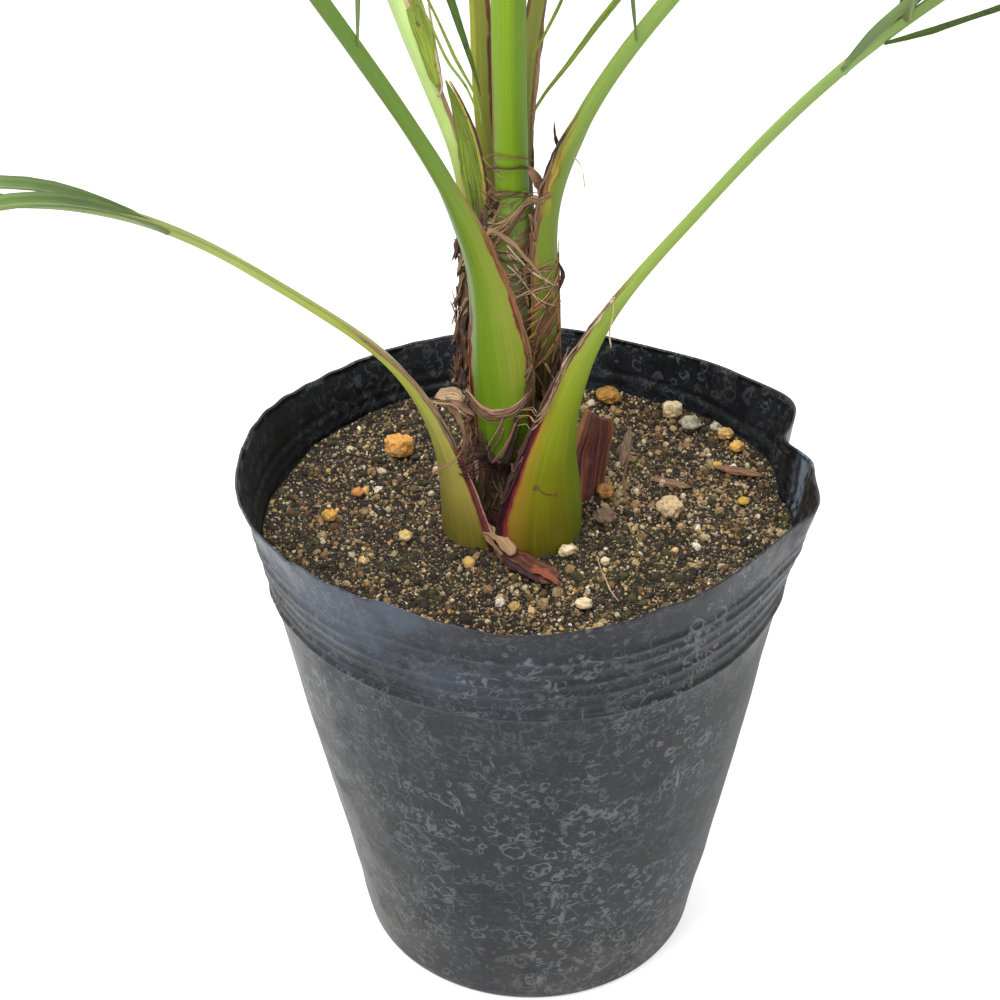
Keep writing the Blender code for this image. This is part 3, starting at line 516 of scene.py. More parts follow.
def scrapeMark(look, turn, z, spec):
    middle = math.radians(spec["turn"] - 360)
    aside = look.math("ABSOLUTE", look.times(look.minus(turn, middle), 180 / spec["wide"]))
    above = look.math("ABSOLUTE", look.times(look.minus(z, spec["height"] / 1000),
                                             2000 / spec["tall"]))
    near = look.times(look.between(aside, 1.0, 0.3), look.between(above, 1.0, 0.3))
    lines = look.between(look.noise(look.place(0.3), 420, 4.0, 0.75, 0.4), 0.47, 0.60)
    return look.times(look.times(near, lines), spec["strength"])


# the potting mix: a lumpy bed with thousands of grains on it

mix = dict(swell=1.6, ripple=0.8, bed=0.7, crumbs=0.55, seed=11, around=220, wallRings=12, bedRings=78,
           fine=9800, middle=7600, coarse=1000,
           fineSize=(0.32, 0.68), middleSize=(0.55, 1.0), coarseSize=(0.95, 1.95),
           standsOut=(0.05, 0.55), stretch=(0.65, 1.25), knobbly=(-0.22, 0.16))


def bedHeight(x, y):
    # the same swell as the solid has, in millimetres
    swell = mix["swell"] * np.sin(0.041 * x + 0.8) * np.cos(0.053 * y)
    swell += mix["ripple"] * np.sin(0.11 * x + 0.09 * y)
    return soilLevel + swell + 0.022 * x + 0.012 * y - 0.5


def bedSurface(x, y):
    flat = np.stack((x, y, np.zeros_like(x)), -1).reshape(-1, 3)
    crumbs = softNoise(flat, 6.5, 21) * 0.9 + softNoise(flat, 2.6, 22) * 0.6
    return bedHeight(x, y) + (mix["crumbs"] * crumbs.reshape(np.shape(x))) - mix["bed"]


def wallRadius(angle, z):
    share = z / rimHeight(angle)
    point = wallPoints(angle, share, pot["wall"] + 0.35)
    return np.hypot(point[..., 0], point[..., 1])


def makeMix():
    around = mix["around"]
    angle = np.arange(around) * 360.0 / around
    turn = np.radians(angle)
    rings = []
    for z in np.linspace(pot["floor"] + 0.5, soilLevel - 6, mix["wallRings"]):
        rings.append(aroundAxis(wallRadius(angle, z), turn, z))
    edge = wallRadius(angle, soilLevel)
    for share in 1 - np.linspace(0, 0.995, mix["bedRings"]):
        x = edge * share * np.cos(turn)
        y = edge * share * np.sin(turn)
        rings.append(np.stack((x, y, bedSurface(x, y)), -1))
    skinPiece("mixBed", rings, np.linspace(0, 1, around + 1), np.linspace(0, 1, len(rings)), bedFinish(),
              "potting_mix", "potting_soil")
    makeGrains()
    print("mix: bed and %d grains" % (mix["fine"] + mix["middle"] + mix["coarse"]))


def roundBody(level):
    # a ball of triangles, only ten of them at level 0, for the finest grains
    ball = bmesh.new()
    if level:
        bmesh.ops.create_icosphere(ball, subdivisions=level, radius=1.0)
    else:
        bmesh.ops.create_uvsphere(ball, u_segments=5, v_segments=2, radius=1.15)
    points = np.array([vert.co for vert in ball.verts])
    faces = np.array([[vert.index for vert in face.verts] for face in ball.faces])
    ball.free()
    return points, faces


def makeGrains():
    dice = np.random.default_rng(mix["seed"])
    finish = grainFinish()
    for name, count, sizes, level in (("gritFine", mix["fine"], mix["fineSize"], 0),
                                      ("gritMiddle", mix["middle"], mix["middleSize"], 1),
                                      ("gritCoarse", mix["coarse"], mix["coarseSize"], 2)):
        ball, faces = roundBody(level)
        angle = dice.uniform(0, 360, count)
        reach = np.sqrt(dice.uniform(0, 1, count)) * (wallRadius(angle, soilLevel) - sizes[1] * 0.8)
        x = reach * np.cos(np.radians(angle))
        y = reach * np.sin(np.radians(angle))
        size = sizes[0] + (sizes[1] - sizes[0]) * dice.uniform(0, 1, count) ** 1.6
        z = bedSurface(x, y) + size * dice.uniform(*mix["standsOut"], count)
        stretch = dice.uniform(*mix["stretch"], (count, 1, 3)) * size[:, None, None]
        shape = ball[None] * (1 + dice.uniform(*mix["knobbly"], (count, len(ball), 1))) * stretch
        shape = np.einsum("nij,nkj->nki", randomTurns(dice, count), shape)
        points = shape + np.stack((x, y, z), -1)[:, None]
        tone = grainTones(dice, x, y, count)
        bundle = Bundle()
        allFaces = (faces[None] + (np.arange(count) * len(ball))[:, None, None]).reshape(-1, 3)
        uvs = np.repeat(np.stack((tone, dice.uniform(0, 1, count)), -1), len(faces) * 3, axis=0)
        bundle.addBody(points.reshape(-1, 3), allFaces, uvs)
        bundle.piece(name, finish, "potting_mix", smooth=False)


def randomTurns(dice, count):
    q = unit(dice.normal(size=(count, 4)))
    w, x, y, z = q.T
    return np.stack((1 - 2 * (y * y + z * z), 2 * (x * y - z * w), 2 * (x * z + y * w),
                     2 * (x * y + z * w), 1 - 2 * (x * x + z * z), 2 * (y * z - x * w),
                     2 * (x * z - y * w), 2 * (y * z + x * w), 1 - 2 * (x * x + y * y)),
                    -1).reshape(-1, 3, 3)


def grainTones(dice, x, y, count):
    # one number a grain, read by the grain ramp: dark compost at 0, sand in the middle, stones at 1
    flat = np.stack((x, y, np.zeros_like(x)), -1)
    # painted shade: grains grow darker towards the left wall, in the rim's shadow, and they are also darker
    # towards the front
    patch = softNoise(flat, 20, 31) + 0.8 * softNoise(flat, 8, 33) + 0.75 * np.clip((x + 10) / 50, -1, 0.4)
    patch = patch - 0.3 * np.clip((-y - 25) / 30, 0, 1)
    tone = dice.uniform(0, 1, count) ** np.clip(1.2 - 0.6 * patch, 0.45, 2.8)
    moss = (softNoise(flat, 26, 32) > 0.35) & (dice.uniform(0, 1, count) < 0.3)
    tone[moss] = 0.2
    return tone


def grainFinish():
    look = Finish("mixGrains", Roughness=0.9)
    tone, other = look.skin()
    colour = look.ramp(tone, ((0.0, (0.006, 0.005, 0.004)), (0.16, (0.03, 0.017, 0.009)),
                              (0.21, (0.05, 0.055, 0.012)), (0.24, (0.05, 0.05, 0.014)),
                              (0.29, (0.085, 0.045, 0.018)), (0.42, (0.21, 0.12, 0.048)),
                              (0.6, (0.36, 0.232, 0.105)), (0.76, (0.46, 0.335, 0.17)),
                              (0.88, (0.62, 0.52, 0.35)), (0.93, (0.62, 0.36, 0.10)),
                              (1.0, (0.82, 0.76, 0.62))))
    shade = look.between(other, 0.0, 1.0, 0.66, 1.25, smooth=False)
    colour = look.shaded(colour, shade)
    stain = look.noise(look.place(), 1500, 2.0)
    colour = look.mix(look.between(stain, 0.3, 0.7), colour, look.mix(0.55, colour, (0.03, 0.02, 0.012)))
    return look.finish(colour, None, look.bump(stain, 0.0003, 0.6))


def bedFinish():
    look = Finish("mixBed", Roughness=0.95)
    place = look.place()
    lumps = look.noise(place, 420, 5.0, 0.7)
    chance = look.split(look.cells(place, 1250, output="Color"))[0]
    away = look.cells(place, 1250)
    colour = look.ramp(chance, ((0.0, (0.006, 0.004, 0.003)), (0.38, (0.02, 0.013, 0.007)),
                                (0.6, (0.11, 0.066, 0.03)), (0.82, (0.28, 0.19, 0.095)),
                                (1.0, (0.62, 0.52, 0.36))))
    # painted shade: the bed goes nearly black in its hollows, low in the lumps and at the crumbs' edges
    colour = look.mix(look.between(lumps, 0.52, 0.40), colour, (0.008, 0.006, 0.004))
    colour = look.mix(look.between(away, 0.25, 0.62), colour, (0.005, 0.004, 0.003))
    colour = look.mix(look.times(look.between(look.noise(place, 38, 3.0), 0.55, 0.7), 0.5), colour,
                      (0.04, 0.045, 0.012))
    height = look.minus(lumps, look.times(away, 0.5))
    return look.finish(colour, None, look.bump(height, 0.0012, 0.9))


# loose pieces on the mix: pumice, clods, bark and roots

stones = dict(
    pumice_orange_left=dict(colour=(0.60, 0.26, 0.05), second=(0.70, 0.39, 0.11)),
    pumice_brown_back=dict(colour=(0.30, 0.13, 0.02), second=(0.48, 0.25, 0.05)),
    pumice_cream_back=dict(colour=(0.66, 0.47, 0.22), second=(0.75, 0.62, 0.4)),
    pumice_lump_back=dict(colour=(0.5, 0.47, 0.35), second=(0.3, 0.3, 0.2)),
    pumice_yellow_right=dict(colour=(0.62, 0.36, 0.09), second=(0.70, 0.48, 0.19)),
    pumice_amber_right=dict(colour=(0.58, 0.29, 0.05), second=(0.68, 0.41, 0.12)),
    pumice_amber_left=dict(colour=(0.55, 0.27, 0.04), second=(0.62, 0.36, 0.08)),
    pumice_rust_left=dict(colour=(0.42, 0.15, 0.03), second=(0.55, 0.25, 0.08)),
    pumice_yellow_left=dict(colour=(0.62, 0.42, 0.13), second=(0.7, 0.55, 0.28)),
    pumice_cream_foot=dict(colour=(0.6, 0.47, 0.24), second=(0.72, 0.6, 0.4)),
    pumice_rust_right=dict(colour=(0.44, 0.18, 0.035), second=(0.54, 0.28, 0.08)),
    pumice_tan_right=dict(colour=(0.50, 0.33, 0.17), second=(0.6, 0.45, 0.28)),
    pumice_cream_front=dict(colour=(0.66, 0.5, 0.26), second=(0.75, 0.62, 0.42)),
    clod_right=dict(colour=(0.13, 0.075, 0.04), second=(0.2, 0.13, 0.08)))
# place, width and colours of the ones too small to be solids
extraStones = (
    dict(at=(-5, -34), size=4.5, colour=(0.62, 0.2, 0.03), second=(0.6, 0.3, 0.08)),
    dict(at=(-24, -33), size=5, colour=(0.62, 0.42, 0.12), second=(0.55, 0.35, 0.1)),
    dict(at=(26, -32), size=3.6, colour=(0.7, 0.6, 0.42), second=(0.6, 0.5, 0.33)),
    dict(at=(75, 57.5), size=5, colour=(0.62, 0.6, 0.5), second=(0.45, 0.5, 0.36)),
    dict(at=(73.6, 32.7), size=3.8, colour=(0.6, 0.36, 0.05), second=(0.65, 0.45, 0.1)),
    dict(at=(81, 7.3), size=4.6, colour=(0.55, 0.36, 0.04), second=(0.6, 0.42, 0.08)))
chips = dict(
    bark_chip_back=dict(length=20, width=5, turn=-20, colour=(0.15, 0.075, 0.04)),
    bark_chip_right=dict(length=16, width=5, turn=-25, colour=(0.16, 0.09, 0.05)),
    root_piece_right=dict(length=30, width=4, turn=80, colour=(0.13, 0.08, 0.05)))


def middleOf(node):
    low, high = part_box(node)
    return (np.array(low) + np.array(high)) / 2 / mm, (np.array(high) - np.array(low)) / mm


def stoneBody(centre, size, seed, level):
    ball, faces = roundBody(level)
    lumps = 0.26 * softNoise(ball, 0.9, seed) + 0.17 * softNoise(ball, 0.42, seed + 1)
    pits = np.minimum(0, softNoise(ball, 0.2, seed + 2) - 0.15) * 0.12
    shape = ball * (1 + lumps + pits + 0.03 * softNoise(ball, 0.1, seed + 3))[:, None]
    shape = shape / (shape.max(axis=0) - shape.min(axis=0)) * size
    uvs = np.stack((ball[faces][..., 0], ball[faces][..., 2]), -1)
    return shape - (shape.max(axis=0) + shape.min(axis=0)) / 2 + centre, faces, uvs


def stoneFinish(name, colour, second):
    look = Finish(name, Roughness=0.85)
    place = look.place()
    blotch = look.noise(place, 330, 4.0, 0.65)
    made = look.mix(look.between(blotch, 0.35, 0.65), colour, second)
    # painted shade: the pores are pits in the bump and are darkened towards a third of the stone's colour
    pores = look.between(look.cells(place, 1500), 0.12, 0.32, 1.0, 0.0)
    dark = tuple(0.35 * part for part in colour)
    made = look.mix(look.times(pores, 0.8), made, dark)
    stain = look.between(look.noise(place, 160, 5.0, 0.7), 0.50, 0.68)
    made = look.mix(look.times(stain, 0.75), made, tuple(0.22 * part for part in colour))
    grit = look.noise(place, 2200, 3.0)
    relief = look.minus(grit, pores)
    return look.finish(made, None, look.bump(relief, 0.0004, 0.8))


def stonePiece(name, finishName, stone, slot, replaced, body):
    bundle = Bundle()
    bundle.addBody(*body)
    bundle.piece(name, stoneFinish(finishName, stone["colour"], stone["second"]), slot, replaced)


def makeStones():
    for number, (node, stone) in enumerate(stones.items()):
        centre, size = middleOf(node)
        slot = "potting_mix" if node == "clod_right" else "pumice"
        stonePiece(node + "Rock", node + "Stone", stone, slot, [node],
                   stoneBody(centre, size, 40 + 5 * number, 5 if size[0] > 8 else 4))
    for number, stone in enumerate(extraStones):
        x, y = stone["at"]
        size = stone["size"] * np.array((1.0, 0.9, 0.8))
        name = "smallStone%d" % (number + 1)
        stonePiece(name, name + "Stone", stone, "pumice", (),
                   stoneBody((x, y, bedHeight(x, y) + 0.25 * stone["size"]), size, 140 + 5 * number, 4))


def barkFinish(name, colour):
    look = Finish(name, Roughness=0.85)
    u, v = look.skin()
    grain = look.noise(look.join(look.times(u, 9.0), look.times(v, 1.6)), 1.8, 5.0, 0.65, 0.4)
    dark = tuple(0.25 * part for part in colour)
    pale = tuple(min(0.6, 2.6 * part) for part in colour)
    made = look.ramp(grain, ((0.3, dark), (0.48, colour), (0.7, pale)))
    return look.finish(made, None, look.bump(grain, 0.0006, 0.9))


def chipRings(centre, length, width, thick, turn, seed, bend=0.0, steps=26, corners=14, taper=0.55):
    # a splinter: flat, tapered to both ends and torn along its sides
    rings = []
    heading = np.array((math.cos(math.radians(turn)), math.sin(math.radians(turn)), 0))
    side = np.array((-heading[1], heading[0], 0))
    for k in range(steps):
        share = k / (steps - 1)
        full = max(0.12, math.sin(math.pi * share) ** taper)
        angle = 2 * math.pi * np.arange(corners) / corners
        tear = 1 + 0.28 * softNoise(np.stack((angle, np.full(corners, share * 9), np.zeros(corners)), -1),
                                    0.7, seed)
        across = 0.5 * width * full * np.cos(angle) * tear
        up = 0.5 * thick * full * np.sin(angle) * tear + bend * (2 * share - 1) ** 2
        rings.append(centre + heading * (share - 0.5) * length + np.outer(across, side)
                     + np.outer(up, (0, 0, 1)))
    return np.array(rings)


def makeChips():
    for number, (node, chip) in enumerate(chips.items()):
        centre, _ = middleOf(node)
        rings = chipRings(centre, chip["length"], chip["width"], 2.2, chip["turn"], 60 + number)
        skinPiece(node + "Splinter", rings, np.linspace(0, 1, 15), np.linspace(0, 1, len(rings)),
                  barkFinish(node + "Bark", chip["colour"]), "bark", node)
    print("loose pieces: %d stones, %d splinters" % (len(stones) + len(extraStones), len(chips)))


# stalks: every frond is a fine skin over the same route as its solid

marginShare = 0.22                             # thickness at a stalk's edges, as a share of its middle
stemProfile = ((-36, 14.0), (-20, 17.5), (0, 18.5), (35, 17.0), (60, 14.8), (104, 12.6), (119, 12.2))
solidGap = 0.3

fronds = dict(
    lowLeft=dict(
        node="frond_low_left", seat=212, height=-4,
        route=((-20.5, -19.5, 32), (-35.5, -34, 78), (-68, -60.5, 122.3), (-108.5, -98, 167),
               (-150, -133, 187),
               (-235, -165, 165.5), (-320, -190, 106), (-385, -205, 30)),
        width=((0, 34), (20, 28), (40, 20.5), (60, 15.5), (80, 12), (100, 9), (120, 6.6), (145, 5.8),
               (500, 3)),
        depth=((0, 7.5), (30, 6.5), (60, 5), (100, 3.6), (150, 3), (500, 2)),
        wrap=((0, 1), (60, 0.35), (120, 0)),
        blade=234, pairs=15, leaflet=(150, 12), spines=0, open=(4, 42), late=2.2, lift=(4, 6), sag=0.36,
        placed=(dict(at=216, hand=1, reach=150, width=7, swing=2, lift=8, broad=0.1, droop=0.42),
                dict(at=210, hand=-1, reach=140, width=7, swing=2, lift=-4, broad=0.1, droop=0.42))),
    lowRight=dict(
        node="frond_low_right", seat=310, height=-4,
        route=((13, -24, 38), (21, -31, 79), (31.7, -38, 106), (51.5, -50, 140), (92, -78, 203.5),
               (186, -104, 282.3), (252, -115, 322), (345, -128, 345), (440, -145, 340)),
        width=((0, 32), (10, 40.5), (22, 40), (42, 30.5), (62, 22.5), (83, 17.5), (100, 12.5), (115, 9),
               (130, 7),
               (150, 6), (600, 3)),
        depth=((0, 11.5), (20, 9.5), (40, 6.8), (60, 5.5), (110, 4), (150, 3), (600, 2)),
        wrap=((0, 0.8), (60, 0.6), (130, 0)),
        blade=300, pairs=15, leaflet=(160, 15), spines=0, open=(36, 30), lift=(24, 10),
        placed=(dict(at=264, hand=1, reach=190, width=14, swing=44, lift=26, broad=0.5),
                dict(at=238, hand=-1, reach=190, width=7, swing=3, lift=14, broad=0.1),
                dict(at=240, hand=1, reach=60, width=6, swing=4, lift=14, broad=0.1))),
    frontLeft=dict(
        node="frond_front_left", seat=262, height=36,
        route=((-4, -21, 63), (-9, -26, 111), (-22.5, -41, 154), (-38.8, -62, 192), (-63, -87, 240.5),
               (-107.5, -125, 321), (-190, -180, 430), (-280, -235, 510), (-370, -290, 545)),
        width=((0, 19), (27, 22), (41, 22.2), (50, 20), (58, 17.4), (68, 14.8), (78, 12.4), (88, 10.8),
               (100, 9.6), (120, 6.6), (150, 5.7), (300, 5.5), (740, 3)),
        depth=((0, 4.5), (60, 6), (120, 4.5), (200, 4), (740, 2)),
        wrap=((0, 1), (60, 0.7), (130, 0.2), (200, 0)),
        blade=265, pairs=24, leaflet=(190, 13), spines=4,
        placed=(dict(at=192, hand=-1, reach=90, width=1.7, swing=36, lift=40, broad=0.5),)),
    centre=dict(
        node="frond_centre", seat=270, height=119.6, standOff=-5.5,
        route=((-1, -13, 149), (-2, -27, 208), (-4, -70, 380), (5, -150, 550), (15, -235, 650),
               (22, -320, 680)),
        width=((0, 11.5), (300, 10.5), (690, 3)),
        depth=((0, 4.5), (60, 6), (200, 5), (690, 2)), wrap=((0, 0.4), (60, 0)),
        blade=265, pairs=24, leaflet=(200, 13), spines=4),
    right=dict(
        node="frond_right", seat=-42, height=58,
        route=((10.4, -11.3, 108), (10.9, -13.5, 131), (17.1, -19.2, 157), (24.5, -21.8, 174),
               (45, -34, 210),
               (110, -60, 305), (185, -85, 400), (290, -115, 500), (400, -150, 545)),
        width=((0, 14), (50, 12.4), (68, 11), (82, 12.4), (103, 13.4), (112, 8.4), (130, 7.6),
               (260, 6.8), (650, 3)),
        depth=((0, 4.5), (60, 4.5), (200, 4.5), (650, 2)), wrap=((0, 1), (60, 0.6), (110, 0)),
        blade=265, pairs=22, leaflet=(180, 12), spines=4,
        placed=(dict(at=148, hand=1, reach=70, width=1.3, swing=36, lift=30, broad=0.5),)),
    left=dict(
        node="frond_left", seat=185, height=58,
        route=((-14.8, -1, 104), (-17, 3, 143), (-24.5, 10, 163), (-37, 26, 190), (-87, 52, 290),
               (-157, 88, 410), (-235, 130, 515), (-330, 165, 590), (-415, 195, 605)),
        width=((0, 14), (50, 12.5), (105, 13), (130, 17), (200, 16), (300, 8), (730, 3)),
        depth=((0, 4.5), (60, 4), (130, 5.5), (200, 5), (730, 2)),
        wrap=((0, 1), (80, 0.9), (160, 0.9), (240, 0.3)),
        blade=275, pairs=24, leaflet=(190, 12), spines=4),
    backLeft=dict(
        node="frond_back_left", seat=135, height=119.6, standOff=-6.3,
        route=((-9, 13, 149), (-11, 33, 188), (-30, 70, 290), (-55, 115, 420), (-95, 185, 590),
               (-145, 265, 680), (-195, 345, 700)),
        width=((0, 8), (60, 9), (200, 8), (300, 7.5), (750, 3)),
        depth=((0, 3.5), (60, 5), (200, 4.5), (750, 2)), wrap=((0, 0.3), (60, 0)),
        blade=245, pairs=24, leaflet=(190, 12), spines=4),
    backRight=dict(
        node="frond_back_right", seat=48, height=119.6, standOff=-6.3,
        route=((2.4, 13, 149), (7.3, 28, 190), (24, 55, 290), (54.5, 95, 410), (105, 160, 550),
               (165, 245, 635), (225, 330, 650)),
        width=((0, 8), (60, 8), (200, 7.5), (300, 7), (710, 3)),
        depth=((0, 3.5), (60, 5), (200, 4.5), (710, 2)), wrap=((0, 0.3), (60, 0)),
        blade=235, pairs=24, leaflet=(190, 12), spines=4))


def smoothRoute(points, step=2.5, least=3):
    # natural cubic spline through the points, with its length at every sample
    knots = np.array(points, float)
    spans = np.linalg.norm(np.diff(knots, axis=0), axis=1)
    count = len(knots)
    system = np.zeros((count, count))
    right = np.zeros((count, 3))
    system[0, 0] = system[-1, -1] = 1.0
    for i in range(1, count - 1):
        system[i, i - 1:i + 2] = spans[i - 1], 2 * (spans[i - 1] + spans[i]), spans[i]
        right[i] = 6 * ((knots[i + 1] - knots[i]) / spans[i] - (knots[i] - knots[i - 1]) / spans[i - 1])
    bend = np.linalg.solve(system, right)
    samples = []
    for i, span in enumerate(spans):
        pieces = max(least, int(round(span / step)))
        b = (np.arange(pieces) / pieces)[:, None]
        a = 1 - b
        samples.append(a * knots[i] + b * knots[i + 1]
                       + ((a ** 3 - a) * bend[i] + (b ** 3 - b) * bend[i + 1]) * span ** 2 / 6)
    samples = np.concatenate(samples + [knots[-1:]])
    lengths = np.r_[0.0, np.cumsum(np.linalg.norm(np.diff(samples, axis=0), axis=1))]
    return samples, lengths


def readTable(table, length):
    lengths, values = zip(*table)
    return np.interp(length, lengths, values)


class StalkLine:
    # place, heading, inner-face normal and side vector at a length along a frond

    def __init__(self, spec):
        self.spec = spec
        heights, radii = zip(*stemProfile)
        bare = float(np.interp(spec["height"], heights, radii)) + solidGap + spec.get("standOff", 0.0)
        halfStep = 0.25 * spec["width"][0][1] * spec["wrap"][0][1] / bare
        self.radius = bare / math.cos(halfStep)
        seat = math.radians(spec["seat"])
        root = (self.radius * math.cos(seat), self.radius * math.sin(seat), spec["height"])
        self.samples, self.lengths = smoothRoute((root,) + tuple(spec["route"]))
        self.total = float(self.lengths[-1])
        self.headings = unit(np.gradient(self.samples, self.lengths, axis=0))
        facing = math.radians(spec.get("facing", spec["seat"]))
        normal = np.array((-math.cos(facing), -math.sin(facing), 0.0))
        normals = []
        for heading in self.headings:
            normal = unit(normal - heading * normal.dot(heading))
            normals.append(normal)
        self.normals = np.array(normals)

    def at(self, length):
        place, heading, normal = (np.array([np.interp(length, self.lengths, table[:, k]) for k in range(3)])
                                  for table in (self.samples, self.headings, self.normals))
        heading = unit(heading)
        normal = unit(normal - heading * heading.dot(normal))
        return place, heading, normal, np.cross(heading, normal)

    def point(self, length, across, lift=0.0, inner=False):
        # a point of the skin: across runs from -1 to 1 between the edges, lift stands off the skin
        place, _, normal, side = self.at(length)
        half = 0.5 * readTable(self.spec["width"], length)
        depth = readTable(self.spec["depth"], length)
        curve = max(1e-4, readTable(self.spec["wrap"], length) / self.radius)
        bend = 1.0 / curve
        turn = across * half * curve
        thick = -lift if inner else depth * (marginShare + (1 - marginShare) * (1 - across ** 2)) + lift
        return (place + side * ((bend + thick) * math.sin(turn))
                + normal * (bend - (bend + thick) * math.cos(turn)))


def skinRing(line, length, relief):
    # one ring of a stalk: outer face from edge to edge, then back along the inner face
    place, _, normal, side = line.at(length)
    half = 0.5 * readTable(line.spec["width"], length)
    depth = readTable(line.spec["depth"], length)
    curve = max(1e-4, readTable(line.spec["wrap"], length) / line.radius)
    bend = 1.0 / curve
    outer = np.linspace(-1, 1, skin["outer"])
    inner = np.linspace(1, -1, skin["inner"] + 2)[1:-1]
    across = np.r_[outer, inner]
    thick = np.r_[depth * (marginShare + (1 - marginShare) * (1 - outer ** 2)), np.zeros(len(inner))]
    lie = np.stack((across * 7 + np.r_[np.zeros(len(outer)), np.full(len(inner), 40)],
                    np.full(len(across), length / 45), np.zeros(len(across))), -1)
    ridges = softNoise(lie, 1.0, relief) * 0.14 + softNoise(lie, 0.37, relief + 1) * 0.07
    thick = thick + ridges * np.r_[np.ones(len(outer)), -np.ones(len(inner))]
    turn = across * half * curve
    return (place + np.outer((bend + thick) * np.sin(turn), side)
            + np.outer(bend - (bend + thick) * np.cos(turn), normal))


skin = dict(outer=25, inner=11, step=3.0)       # points across the two faces, and how far rings are apart


def skinAcross():
    # 0 to 1 over the outer face and on to 2 over the inner one
    return np.r_[np.linspace(0, 1, skin["outer"]), np.linspace(1, 2, skin["inner"] + 2)[1:]]


def makeStalk(name, spec, line):
    count = int((line.total - 2) / skin["step"])
    lengths = np.linspace(0, line.total, count)
    rings = [skinRing(line, length, 7) for length in lengths]
    if spec["height"] > 100:
        rings[0] = rings[0] + np.outer(spec["height"] - rings[0][:, 2],
                                       line.headings[0] / line.headings[0][2])
    last = rings[-1]
    rings.append(last.mean(axis=0) + (last - last.mean(axis=0)) * 0.3 + line.headings[-1] * 5)
    lengths = np.r_[lengths, line.total + 5]
    skinPiece(name + "Stalk", np.array(rings) + palm, skinAcross(), lengths / 1000, stalkFinish(name),
              "leaf_green", spec["node"])


# colours of the stalks, by millimetres up from the foot, where edges are dry bands along a side

